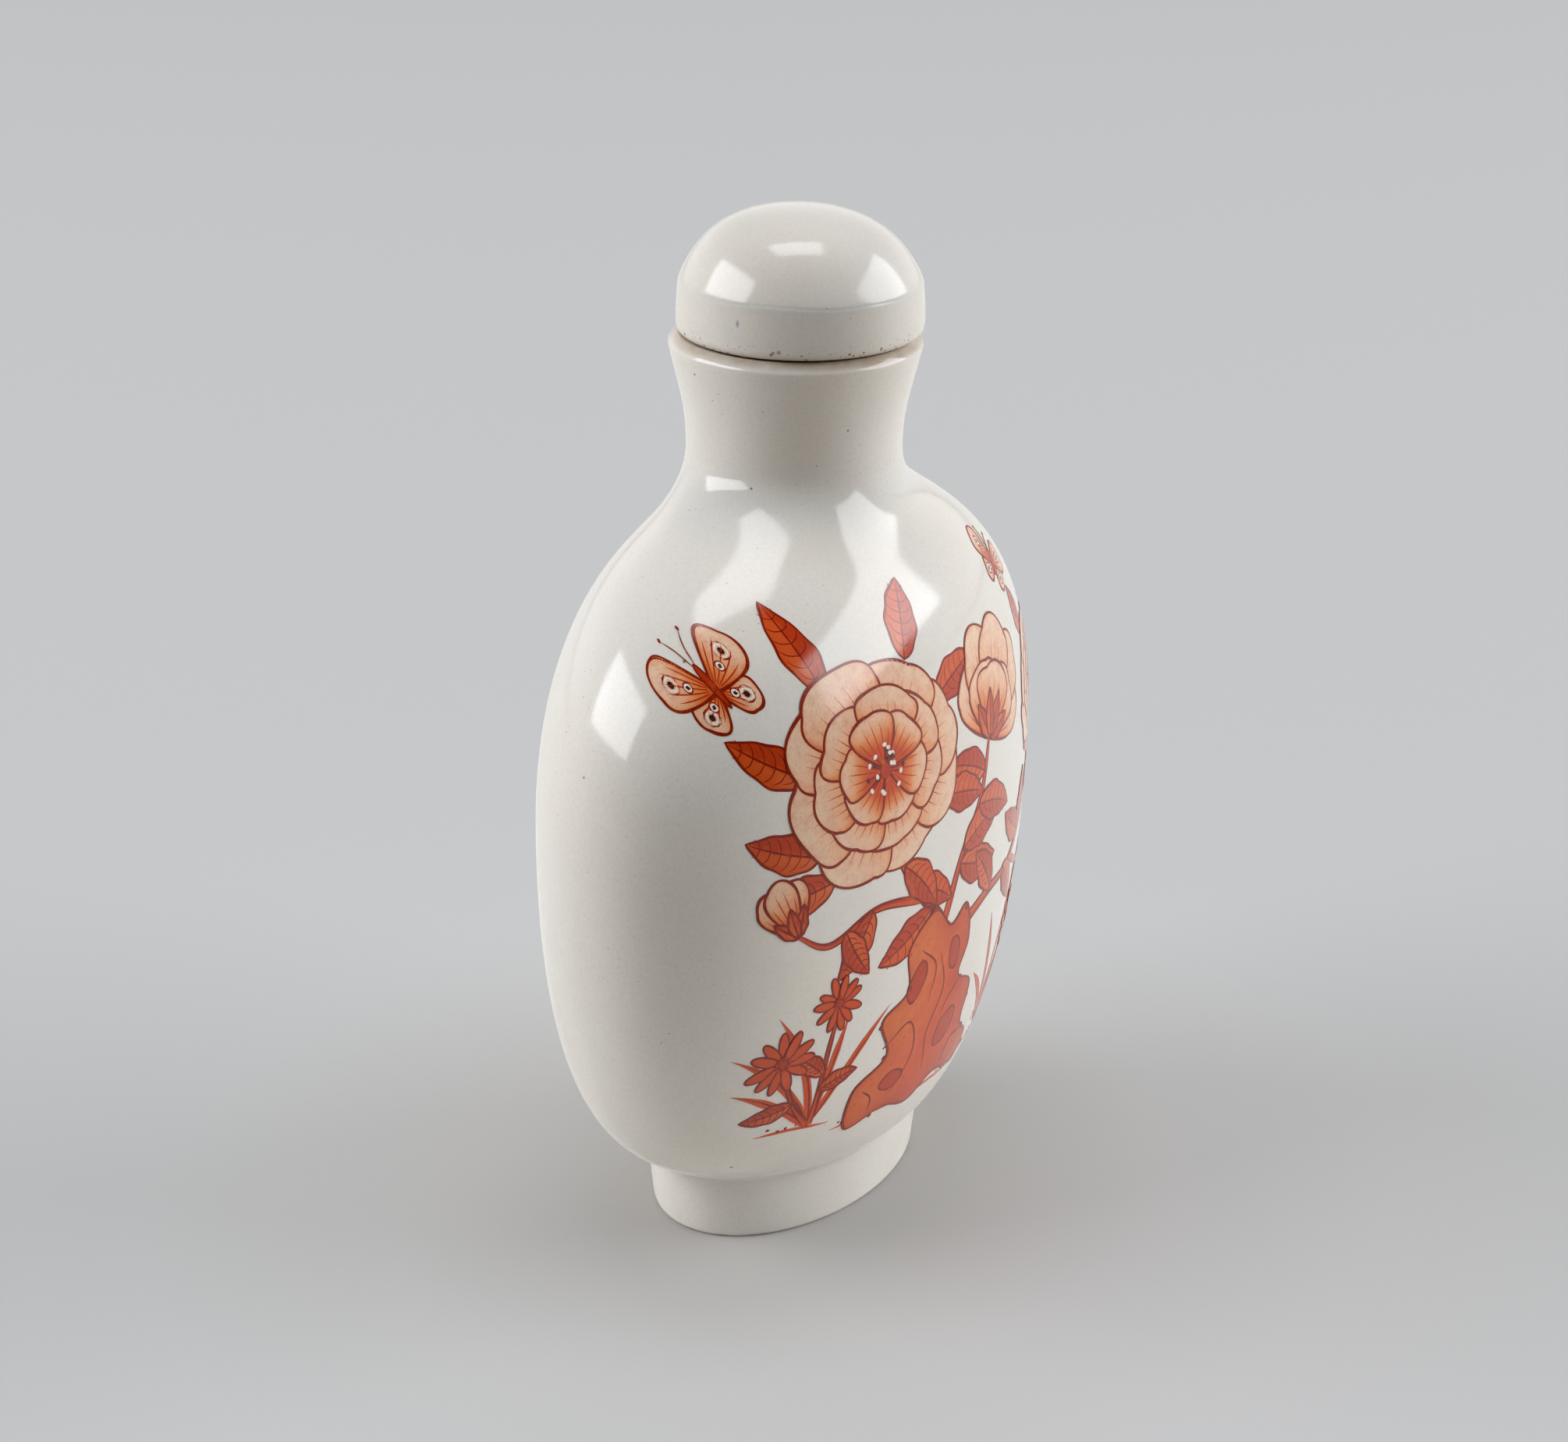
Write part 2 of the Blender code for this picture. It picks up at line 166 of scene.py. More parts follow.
def body_profile(below=66, above=104):
    spread = FOOT_FLARE + BODY_OVERHANG
    heel = oval(FOOT_HEIGHT, FOOT_HALF_WIDTH, FOOT_HALF_DEPTH, inset=-spread)
    belly = oval(BELLY_HEIGHT, BELLY_HALF_WIDTH, BELLY_HALF_DEPTH)
    waist = round_slice(WAIST_HEIGHT, NECK_RADIUS)
    heel_handle = (FOOT_HEIGHT + HEEL_RISE, *mix(heel, belly, HEEL_SPREAD)[1:])
    belly_handle = (BELLY_HEIGHT - FULLNESS_BELOW * BELLY_RISE, *belly[1:])
    points = curve(heel, heel_handle, belly_handle, belly, below)
    return points + shoulder_profile(belly, waist, 0.0, above)


def neck_profile():
    waist = round_slice(WAIST_HEIGHT, NECK_RADIUS)
    waist_handle = round_slice(WAIST_HEIGHT + NECK_HOLD, NECK_RADIUS)
    lip_handle = round_slice(LIP_EDGE_HEIGHT - LIP_FLARE_DROP, LIP_RADIUS - LIP_FLARE)
    return curve(waist, waist_handle, lip_handle, round_slice(LIP_EDGE_HEIGHT, LIP_RADIUS), 32)


def lip_profile():
    lip_edge = round_slice(LIP_EDGE_HEIGHT, LIP_RADIUS)
    edge_handle = round_slice(LIP_EDGE_HEIGHT + 0.3, LIP_RADIUS)
    crown = round_slice(LIP_HEIGHT + LIP_CROWN, LIP_RADIUS - LIP_ROUNDING)
    mouth_edge = round_slice(LIP_HEIGHT, BORE_RADIUS + MOUTH_ROUNDING)
    mouth = round_slice(LIP_HEIGHT, BORE_RADIUS)
    bore_top = round_slice(LIP_HEIGHT - MOUTH_ROUNDING, BORE_RADIUS)
    over = curve(lip_edge, edge_handle, crown, crown, 14)
    return over + route(crown, (8, mouth_edge), (8, mouth, bore_top))[1:]


def hollow_profile():
    bore_top = round_slice(LIP_HEIGHT - MOUTH_ROUNDING, BORE_RADIUS)
    bore_end = round_slice(LIP_HEIGHT - BORE_LENGTH, BORE_RADIUS)
    belly = oval(BELLY_HEIGHT, BELLY_HALF_WIDTH, BELLY_HALF_DEPTH, inset=WALL)
    floor = oval(FLOOR_HEIGHT, FLOOR_HALF_WIDTH, FLOOR_HALF_DEPTH)
    belly_handle = (BELLY_HEIGHT - FULLNESS_BELOW * (BELLY_HEIGHT - FLOOR_HEIGHT), *belly[1:])
    floor_handle = (FLOOR_HEIGHT, *mix(floor, belly, HEEL_SPREAD)[1:])
    points = line(bore_top, bore_end, 8)
    points += shoulder_profile(belly, bore_end, WALL, 30)[-2::-1] + [belly]
    points += curve(belly, belly_handle, floor_handle, floor, 24)
    return points + line(floor, (FLOOR_HEIGHT, 0.0, 0.0), 3)


# The hand in it: how far the fired clay strays from the true form
STRAY, STRAY_RADIUS = 0.055, 20.0
ENAMEL_ROOM = 0.9945
NECK_SLIDE, NECK_SLIDE_START, NECK_SLIDE_RISE = -0.12, BELLY_HEIGHT + 15, 10
CAMERA_RIGHT = (0.438, -0.899)
CREASE_SOFT_REACH, CREASE_SOFT_SPAN, CREASE_POINT_GAP = 0.3, 1.8, 0.1
CAP_RIM_DROP = 0.1
CAP_LEAN, CAP_TILT, CAP_WAVE = 0.3, 0.05, 0.02
CAP_GROOVE_DEPTH, CAP_GROOVE_WIDTH = 0.016, 0.1


def fired(points):
    """Points of the true form, drawn in a little here and there as the fired body is."""
    x, y, z = points.T
    turn = np.arctan2(y * BELLY_HALF_WIDTH / BELLY_HALF_DEPTH, x)
    stray = 0.5 * np.sin(2 * turn + 0.6 + z / 9) + 0.3 * np.sin(3 * turn - 1.1 + z / 6.5)
    stray += 0.2 * np.sin(5 * turn + z / 3.7)
    share = 1 + STRAY * (stray - 1) / STRAY_RADIUS
    climb = np.clip((z - NECK_SLIDE_START) / NECK_SLIDE_RISE, 0, 1)
    slide = NECK_SLIDE * climb * climb * (3 - 2 * climb)
    across, through = (slide * part for part in CAMERA_RIGHT)
    return np.stack([x * share + across, y * share * ENAMEL_ROOM + through, z], axis=1)


def round_turns(count):
    return np.linspace(0, 2 * pi, count, endpoint=False)


def new_object(name, data):
    thing = bpy.data.objects.new(name, data)
    bpy.context.scene.collection.objects.link(thing)
    return thing


def skin(name, rings, segments, shape=None):
    """A closed skin over (height, half_width, half_depth) rings; a ring of no width is a point."""
    turns = round_turns(segments)
    points, loops = [], []
    for height, half_width, half_depth in rings:
        count = segments if half_width > 0 else 1
        loops.append(len(points) + np.arange(count))
        points += [(half_width * cos(t), half_depth * sin(t), height) for t in turns[:count]]
    faces = []
    for low, high in zip(loops, loops[1:]):
        for step in range(segments):
            after = (step + 1) % segments
            corners = [low[step % len(low)], low[after % len(low)]]
            corners += [high[after % len(high)], high[step % len(high)]]
            faces.append([int(c) for c in dict.fromkeys(corners)])
    points = np.array(points, float)
    if shape:
        points = shape(points)
    return new_piece(name, points, faces)


def new_piece(name, points, faces, sharp=50):
    """A smooth-shaded mesh piece from points in millimetres."""
    mesh = bpy.data.meshes.new(name)
    mesh.from_pydata((np.asarray(points) * MM).tolist(), [], faces)
    mesh.validate()
    mesh.shade_smooth()
    mesh.set_sharp_from_angle(angle=radians(sharp))
    return new_object(name, mesh)


def dress(piece, finish, body, slot, *nodes):
    """Gives a piece its finish and its body, and hides the solids that it stands for; the slot is
    not used.
    """
    piece.data.materials.clear()
    piece.data.materials.append(finish)
    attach(piece, body)
    if nodes:
        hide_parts(*nodes)


# Shader nodes
class Nodes:
    """A node tree that grows by one call at a time."""

    def __init__(self, owner):
        owner.use_nodes = True
        self.tree = owner.node_tree

    def add(self, kind, settings=None, **inputs):
        node = self.tree.nodes.new(kind)
        for key, value in (settings or {}).items():
            setattr(node, key, value)
        for key, value in inputs.items():
            self.put(node.inputs[key.replace("_", " ")], value)
        return node

    def put(self, socket, value):
        if isinstance(value, bpy.types.NodeSocket):
            self.tree.links.new(value, socket)
        else:
            socket.default_value = (*value, 1.0) if socket.type == "RGBA" else value

    def vector(self, operation, a, b=None, scale=None):
        node = self.add("ShaderNodeVectorMath", {"operation": operation})
        for key, value in ((0, a), (1, b), ("Scale", scale)):
            if value is not None:
                self.put(node.inputs[key], value)
        is_number = operation in ("DISTANCE", "DOT_PRODUCT", "LENGTH")
        return node.outputs["Value" if is_number else "Vector"]

    def maths(self, operation, *values):
        node = self.add("ShaderNodeMath", {"operation": operation})
        for socket, value in zip(node.inputs, values):
            self.put(socket, value)
        return node.outputs[0]

    def times(self, a, b):
        return self.maths("MULTIPLY", a, b)

    def ramp(self, value, low, high, start=0.0, end=1.0):
        """Smoothly from start, where value is low, to end, where it is high."""
        limits = {"From_Min": low, "From_Max": high, "To_Min": start, "To_Max": end}
        settings = {"interpolation_type": "SMOOTHSTEP"}
        return self.add("ShaderNodeMapRange", settings, Value=value, **limits).outputs["Result"]

    def around(self, value, centre, reach, strength):
        """The strength where value is at the centre, and 0 beyond the reach."""
        away = self.maths("ABSOLUTE", self.maths("SUBTRACT", value, centre))
        return self.ramp(away, 0.0, reach, strength, 0.0)

    def blend(self, share, first, second):
        node = self.add("ShaderNodeMix", {"data_type": "RGBA"})
        for index, value in ((0, share), (6, first), (7, second)):
            self.put(node.inputs[index], value)
        return node.outputs[2]


class Shades(Nodes):
    """A material's nodes; every length in it is a millimetre."""

    def __init__(self, name, colour):
        self.material, self.colour = bpy.data.materials.new(name), colour
        super().__init__(self.material)
        self.shader = self.tree.nodes["Principled BSDF"]
        place = self.add("ShaderNodeTexCoord").outputs["Object"]
        self.place = self.vector("SCALE", place, scale=1 / MM)
        self.height = self.add("ShaderNodeSeparateXYZ", Vector=self.place).outputs["Z"]

    def noise(self, size, detail=2.0, stretch=(1, 1, 1), roughness=0.5):
        place = self.vector("MULTIPLY", self.place, tuple(s / size for s in stretch))
        look = {"Scale": 1.0, "Detail": detail, "Roughness": roughness}
        return self.add("ShaderNodeTexNoise", Vector=place, **look).outputs["Fac"]

    def patches(self, size, low, high, start=0.0, end=1.0, **noise):
        return self.ramp(self.noise(size, **noise), low, high, start, end)

    def ragged(self, value, size, reach, detail=2.0):
        """The value, raised unevenly by up to the reach."""
        return self.maths("MULTIPLY_ADD", self.noise(size, detail), reach, value)

    def cells(self, size, shift=(0, 0, 0)):
        """Scattered points, one a cell: the distance to the nearest, in cells, and its colour."""
        place = self.vector("SCALE", self.vector("ADD", self.place, shift), scale=1 / size)
        return self.add("ShaderNodeTexVoronoi", Vector=place, Scale=1.0).outputs

    def specks(self, size, radius, kept, shift=(0, 0, 0)):
        """1 inside small specks, which only a kept share of the cells have."""
        cells = self.cells(size, shift)
        lot = self.add("ShaderNodeSeparateXYZ", Vector=cells["Color"]).outputs
        wide = self.times(self.maths("MULTIPLY_ADD", lot["Y"], 0.8, 0.5), radius / size)
        inside = self.maths("SUBTRACT", wide, cells["Distance"])
        inside = self.ramp(inside, -0.3 * radius / size, 0.3 * radius / size)
        return self.times(inside, self.maths("LESS_THAN", lot["X"], kept))

    def bump(self, height, depth, **under):
        """A bump of the given depth in millimetres where height goes from 0 to 1."""
        bump = self.add("ShaderNodeBump", Strength=1.0, Distance=depth * MM, Height=height, **under)
        return bump.outputs["Normal"]

    def coat(self, share, colour):
        """Covers the colour so far with another, by a share."""
        self.colour = self.blend(share, self.colour, colour)

    def finish(self, roughness, **more):
        for key, value in {"Base_Color": self.colour, "Roughness": roughness, **more}.items():
            self.put(self.shader.inputs[key.replace("_", " ")], value)
        return self.material


def tint(red, green, blue):
    """A colour written as the eye reads it, 0 to 255, as the shader wants it."""
    shares = (c / 255 for c in (red, green, blue))
    return tuple(c / 12.92 if c < 0.04045 else ((c + 0.055) / 1.055) ** 2.4 for c in shares)


# Finishes
GLAZE_IOR = 1.46
GLAZE, GLAZE_WARM, GLAZE_COOL = tint(228, 224, 218), tint(228, 222, 213), tint(220, 220, 216)
# painted shade: a darker glaze colour laid thinly over the whole cap
CAP_PAINTED_SHADE = tint(200, 196, 188)
# brown staining; on the lip's top under the cap's rim it is also painted shade
LIP_STAIN_AND_SHADE = tint(182, 164, 142)
CLAY = tint(132, 98, 70)
SPECK, GREEN_SPECK, RIM_SPECK = tint(96, 92, 80), tint(84, 92, 74), tint(120, 88, 64)
FAINT_SPECK = tint(138, 134, 126)
BLUE_MARK, BLUE_MARK_PLACE, BLUE_MARK_SQUASH = tint(112, 116, 150), (-8.32, 0.34, 63.94), 0.45
PINHOLES = (
    ((-19.47, -1.81, 44.67), 0.13), ((-23.88, 3.15, 37.3), 0.09),
    ((-7.49, 3.72, 59.89), 0.1), ((-4.5, -6.14, 56.71), 0.08),
)
NECK_POOL_HEIGHT = 51.6
FOOT_POOL, NECK_POOL, CAP_POOL = (1.1, 0.8), (2.5, 0.5), (0.7, 0.5)  # reach, strength
LIP_STAIN_AND_SHADE_FADE, LIP_STAIN_AND_SHADE_STRENGTH, RIM_STAIN_FADE, RIM_STAIN_STRENGTH = 0.4, 0.95, 0.7, 0.45
CAP_PAINTED_SHADE_STRENGTH = 0.12
BODY_ROUGHNESS, CAP_ROUGHNESS, ENAMEL_ROUGHNESS = 0.1, 0.12, 0.15
BARE_FOOT, BARE_RIM = (0.16, 0.3), (0.1, 0.17)  # bare clay up to, glazed from
BARE_FOOT_ROUGHNESS, BARE_RIM_ROUGHNESS = 0.6, 0.5


def glaze_skin(shades, pooled):
    """The glaze's colour: warm and cool drifts, cooler where it pools, with fine specks."""
    shades.coat(shades.patches(9.0, 0.35, 0.65, detail=3.0), GLAZE_WARM)
    shades.coat(shades.patches(2.2, 0.5, 0.8, 0.0, 0.3, detail=3.0), GLAZE_COOL)
    shades.coat(pooled, GLAZE_COOL)
    crowd = shades.patches(8.0, 0.4, 0.62, 0.25, 0.8, detail=1.0)
    for size, radius, kept, shift, strength, speck in (
        (0.62, 0.045, 0.6, (3, 5, 7), crowd, FAINT_SPECK),
        (2.6, 0.075, 0.45, (1, 8, 2), 0.75, SPECK),
        (7.5, 0.13, 0.4, (4, 2, 6), 0.8, GREEN_SPECK),
    ):
        shades.coat(shades.times(shades.specks(size, radius, kept, shift), strength), speck)
    shades.coat(shades.patches(0.22, 0.35, 0.7, 0.0, 0.07), FAINT_SPECK)


def glaze_relief(shades):
    """Slow waves, orange peel, a finer grain, and a small dimple here and there."""
    relief = shades.bump(shades.noise(6.5, 1.0), 0.035)
    for size, detail, depth in ((1.1, 2.0, 0.003), (0.3, 1.0, 0.0006)):
        relief = shades.bump(shades.noise(size, detail), depth, Normal=relief)
    pits = shades.maths("SUBTRACT", 1.0, shades.specks(1.9, 0.09, 0.4, (6, 1, 3)))
    return shades.bump(pits, 0.004, Normal=relief)


def glaze_finish(shades, least, bare, bare_roughness):
    """Glossy glaze that gives way to bare clay where bare is 1."""
    shades.coat(bare, CLAY)
    gloss = shades.patches(0.8, 0.3, 0.75, least, least + 0.05, detail=3.0)
    roughness = shades.maths("MULTIPLY_ADD", bare, bare_roughness, gloss)
    return shades.finish(roughness, Normal=glaze_relief(shades), IOR=GLAZE_IOR)


def body_glaze():
    shades = Shades("body_glaze", GLAZE)
    height = shades.height
    crease = shades.around(height, FOOT_HEIGHT, *FOOT_POOL)
    collar = shades.around(height, NECK_POOL_HEIGHT, *NECK_POOL)
    glaze_skin(shades, shades.maths("MAXIMUM", crease, collar))
    off_axis = shades.vector("LENGTH", shades.vector("MULTIPLY", shades.place, (1, 1, 0)))
    off_axis = shades.ragged(off_axis, 1.3, 0.3)
    # On the lip's top under the cap's rim: partly the lip's own brown staining, partly painted
    # shade.
    on_lip = shades.ramp(height, LIP_EDGE_HEIGHT, LIP_EDGE_HEIGHT + LIP_STAIN_AND_SHADE_FADE)
    inner, outer = LIP_RADIUS - LIP_STAIN_AND_SHADE_FADE, LIP_RADIUS + LIP_STAIN_AND_SHADE_FADE
    stain_and_shade = shades.times(on_lip, shades.ramp(off_axis, inner, outer, LIP_STAIN_AND_SHADE_STRENGTH, 0.0))
    shades.coat(shades.times(stain_and_shade, shades.patches(1.6, 0.3, 0.7, 0.6, 1.0)), LIP_STAIN_AND_SHADE)
    for spot, radius in PINHOLES:
        away = shades.vector("DISTANCE", shades.place, tuple(fired(np.array([spot]))[0]))
        shades.coat(shades.ramp(away, 0.5 * radius, 1.3 * radius, 0.85, 0.0), SPECK)
    footing = shades.ramp(shades.ragged(height, 1.1, 0.22), *BARE_FOOT, 1.0, 0.0)
    return glaze_finish(shades, BODY_ROUGHNESS, footing, BARE_FOOT_ROUGHNESS)


def cap_glaze():
    shades = Shades("cap_glaze", GLAZE)
    height = shades.ragged(shades.height, 0.7, 0.2, detail=3.0)
    glaze_skin(shades, shades.around(shades.height, CAP_BOTTOM + CAP_BAND_HEIGHT, *CAP_POOL))
    # Painted shade: the whole cap's glaze darkened a little.
    shades.coat(CAP_PAINTED_SHADE_STRENGTH, CAP_PAINTED_SHADE)
    near_rim = shades.ramp(height, CAP_BOTTOM + 0.25, CAP_BOTTOM + 1.1, 1.0, 0.0)
    grit, coarse = shades.specks(0.4, 0.09, 0.7), shades.specks(0.9, 0.15, 0.7, (2, 7, 4))
    shades.coat(shades.times(shades.maths("MAXIMUM", grit, coarse), near_rim), RIM_SPECK)
    # The cap rim's own brown staining, in the same colour.
    stain_top = CAP_BOTTOM + RIM_STAIN_FADE
    shades.coat(shades.ramp(height, CAP_BOTTOM, stain_top, RIM_STAIN_STRENGTH, 0.0), LIP_STAIN_AND_SHADE)
    x, y, z = BLUE_MARK_PLACE
    squashed = shades.vector("MULTIPLY", shades.place, (1.0, 1.0, BLUE_MARK_SQUASH))
    away = shades.vector("DISTANCE", squashed, (x, y, BLUE_MARK_SQUASH * z))
    shades.coat(shades.ramp(away, 0.08, 0.19, 0.7, 0.0), BLUE_MARK)
    bare = (CAP_BOTTOM - CAP_RIM_DROP + rise for rise in BARE_RIM)
    rim = shades.ramp(height, *bare, 1.0, 0.0)
    return glaze_finish(shades, CAP_ROUGHNESS, rim, BARE_RIM_ROUGHNESS)


def cork_finish():
    shades = Shades("cork", tint(156, 112, 70))
    grain = shades.noise(1.4, detail=6.0, roughness=0.65)
    pore = shades.times(shades.cells(0.9)["Distance"], 0.9)
    streak = shades.patches(2.4, 0.58, 0.7, 0.0, 0.5, detail=3.0, stretch=(1, 1, 0.25))
    shades.coat(shades.ramp(grain, 0.3, 0.7), tint(196, 152, 104))
    shades.coat(shades.ramp(pore, 0.08, 0.2, 0.9, 0.0), tint(74, 46, 26))
    shades.coat(streak, tint(110, 70, 40))
    pits = shades.bump(shades.ramp(pore, 0.05, 0.22), 0.15)
    relief = shades.bump(grain, 0.12, Normal=pits)
    return shades.finish(shades.ramp(grain, 0.3, 0.7, 0.95, 0.78), Normal=relief)


def bone_finish():
    shades = Shades("bone", tint(226, 210, 176))
    grain = shades.noise(0.5, detail=4.0, stretch=(1, 1, 0.08))
    flecks = shades.patches(0.16, 0.64, 0.74, 0.0, 0.5, stretch=(1, 1, 0.12))
    shades.coat(shades.ramp(grain, 0.35, 0.7), tint(196, 172, 130))
    shades.coat(flecks, tint(150, 116, 76))
    return shades.finish(shades.ramp(grain, 0.3, 0.7, 0.42, 0.6), Normal=shades.bump(grain, 0.02))


# The skins
def make_body():
    outside = foot_profile() + body_profile()
    near = [k for k, ring in enumerate(outside) if abs(ring[0] - FOOT_HEIGHT) < CREASE_SOFT_SPAN]
    by_crease = slice(near[0], near[-1] + 1)
    outside[by_crease] = softened(outside[by_crease], CREASE_SOFT_REACH, CREASE_POINT_GAP)
    rings = underside_profile() + outside + neck_profile() + lip_profile() + hollow_profile()
    body = skin("glazed_body", rings, BODY_SEGMENTS, fired)
    dress(body, body_glaze(), "bottle", "body_glaze", "bottle_body")


def turned(outline):
    return [(height, radius, radius) for radius, height in outline]


def cap_outline():
    """(radius, height) points: crown, dome, band, rim, cork seat."""
    top = CAP_BOTTOM + CAP_HEIGHT
    bottom = CAP_BOTTOM - CAP_RIM_DROP
    band_top = CAP_BOTTOM + CAP_BAND_HEIGHT
    bulge = (CAP_BAND_RADIUS, CAP_BOTTOM + CAP_BAND_BULGE_HEIGHT)
    seat_radius = CORK_RADIUS + SEAT_GAP
    seat_top = CAP_BOTTOM + CORK_LENGTH_IN_CAP + SEAT_GAP
    crown, crease = (0.0, top), (CAP_DOME_RADIUS, band_top)
    rim_side = (CAP_RIM_RADIUS, bottom + CAP_RIM_ROUNDING)
    rim_face = (CAP_RIM_RADIUS - CAP_RIM_ROUNDING, bottom)
    dome_handle = (CAP_DOME_RADIUS - CAP_DOME_LEAN, band_top + CAP_DOME_STEEPNESS)
    points = [crown] + curve(crown, (CAP_CROWN_FLATNESS, top), dome_handle, crease, 70)
    points = softened(points + curve(crease, bulge, bulge, rim_side, 26))
    rim = route(rim_side, (8, (CAP_RIM_RADIUS, bottom), rim_face), (5, (seat_radius, bottom)))
    return points + rim[1:] + route(rim[-1], (4, (seat_radius, seat_top)), (3, (0.0, seat_top)))[1:]


def travelled(points):
    """The length of a row of points from its start to each of them."""
    steps = np.linalg.norm(np.diff(points, axis=0), axis=1)
    return np.concatenate([[0.0], np.cumsum(steps)])


def softened(points, reach=0.24, gap=0.035):
    """An outline with its corners rounded off over a short reach, its ends kept."""
    points = np.array(points)
    travel = travelled(points)
    even = np.linspace(0, travel[-1], int(travel[-1] / gap))
    row = np.stack([np.interp(even, travel, part) for part in points.T], 1)
    pull = np.exp(-0.5 * (np.subtract.outer(even, even) / reach) ** 2)
    soft = pull @ row / pull.sum(axis=1)[:, None]
    keep = np.clip(np.minimum(even, even[-1] - even) / (3 * reach), 0, 1)[:, None]
    return [tuple(point) for point in row * (1 - keep) + soft * keep]


def off_centre(points):
    """The fired cap, fuller and higher on one side, with a shallow groove at its crease."""
    x, y, z = fired(points).T
    turn = np.arctan2(points[:, 1], points[:, 0])
    share = (points[:, 0] ** 2 + points[:, 1] ** 2) / CAP_BAND_RADIUS**2
    across = (points[:, :2] @ CAMERA_RIGHT) / CAP_BAND_RADIUS
    from_crease = points[:, 2] - CAP_BOTTOM - CAP_BAND_HEIGHT
    from_crease = from_crease + 0.07 * np.sin(3 * turn + 1) + 0.05 * np.sin(7 * turn)
    depth = CAP_GROOVE_DEPTH / CAP_BAND_RADIUS
    groove = 1 - depth * np.exp(-((from_crease / CAP_GROOVE_WIDTH) ** 2))
    lean_x, lean_y = (CAP_LEAN * share * part for part in CAMERA_RIGHT)
    rise = (CAP_TILT * across - CAP_WAVE * np.sin(2 * turn + 0.4)) * share
    return np.stack([x * groove + lean_x, y * groove + lean_y, z + rise], axis=1)


def make_cap():
    cap = skin("glazed_cap", turned(cap_outline()), CAP_SEGMENTS, off_centre)
    dress(cap, cap_glaze(), "stopper", "cap_glaze", "stopper_cap")


def make_cork():
    top = CAP_BOTTOM + CORK_LENGTH_IN_CAP
    bottom = LIP_HEIGHT - CORK_LENGTH_IN_BORE
    hole_radius = SPOON_SHAFT_RADIUS + SEAT_GAP
    hole_top = bottom + SPOON_LENGTH_IN_CORK + SEAT_GAP
    outline = route(
        (0.0, top),
        (5, (CORK_RADIUS - CORK_BEVEL, top)),
        (8, (CORK_RADIUS, top), (CORK_RADIUS, top - CORK_BEVEL)),
        (30, (CORK_TAIL_RADIUS, bottom + CORK_BEVEL)),
        (8, (CORK_TAIL_RADIUS, bottom), (CORK_TAIL_RADIUS - CORK_BEVEL, bottom)),
        (10, (hole_radius, bottom)),
        (5, (hole_radius, hole_top)),
        (1, (0.0, hole_top)),
    )
    cork = skin("cork_plug", turned(outline), CORK_SEGMENTS)
    dress(cork, cork_finish(), "stopper", "cork", "stopper_cork")


def scooped(points):
    """Presses the shallow bowl into the spoon's +X side."""
    centre = FLOOR_HEIGHT + SPOON_FLOOR_GAP + SCOOP_LENGTH / 2
    across = points[:, 1] / (SCOOP_BOWL_WIDTH / 2)
    along = (points[:, 2] - centre) / (SCOOP_BOWL_LENGTH / 2)
    inside = np.clip(1 - across**2 - along**2, 0, 1)
    bed = SCOOP_HALF_THICKNESS - SCOOP_BOWL_DEPTH * np.sqrt(inside)
    x = np.where(points[:, 0] > 0, np.minimum(points[:, 0], bed), points[:, 0])
    return np.stack([x, points[:, 1], points[:, 2]], axis=1)


def make_spoon():
    tip = FLOOR_HEIGHT + SPOON_FLOOR_GAP
    widest, scoop_top = tip + SCOOP_LENGTH / 2, tip + SCOOP_LENGTH
    shaft_foot = scoop_top + SCOOP_SHOULDER
    top = LIP_HEIGHT + SPOON_LENGTH_IN_CORK - CORK_LENGTH_IN_BORE
    rings = [(tip, 0.0, 0.0)]
    for angle in np.linspace(0, pi / 2, 33)[1:]:
        height = tip + (widest - tip) * (1 - cos(angle))
        rings.append((height, SCOOP_HALF_THICKNESS * sin(angle), SCOOP_HALF_WIDTH * sin(angle)))
    wide = (widest, SCOOP_HALF_THICKNESS, SCOOP_HALF_WIDTH)
    narrow = (shaft_foot, SPOON_SHAFT_END_RADIUS, SPOON_SHAFT_END_RADIUS)
    rings += curve(wide, (scoop_top, *wide[1:]), (scoop_top, *narrow[1:]), narrow, 32)
    shaft_top = (top, SPOON_SHAFT_RADIUS, SPOON_SHAFT_RADIUS)
    rings += line(narrow, shaft_top, 24) + [(top, 0.0, 0.0)]
    spoon = skin("bone_spoon", rings, SPOON_SEGMENTS, scooped)
    dress(spoon, bone_finish(), "stopper", "bone", "snuff_spoon")


# The enamel: drawn flat in millimetres, then laid on the curved glaze
OUTER = np.array(body_profile(120, 240))
HEIGHTS = OUTER[:, 0]
SLOPES = [np.gradient(OUTER[:, part], HEIGHTS) for part in (1, 2)]
FRONT_TRAVEL = travelled(OUTER[:, [0, 2]])
FRONT_TRAVEL += BELLY_HEIGHT - np.interp(BELLY_HEIGHT, HEIGHTS, FRONT_TRAVEL)
ENAMEL_SUNK, ENAMEL_LIFT, ENAMEL_STEP = -0.03, 0.012, 0.0016


def arc(turn, wide, deep):
    """The length round an oval from the middle of its front to a turn."""
    spots, weights = np.polynomial.legendre.leggauss(8)
    turns = turn[:, None] * (spots + 1) / 2
    speed = np.hypot(wide[:, None] * np.cos(turns), deep[:, None] * np.sin(turns))
    return turn / 2 * (speed * weights).sum(axis=1)


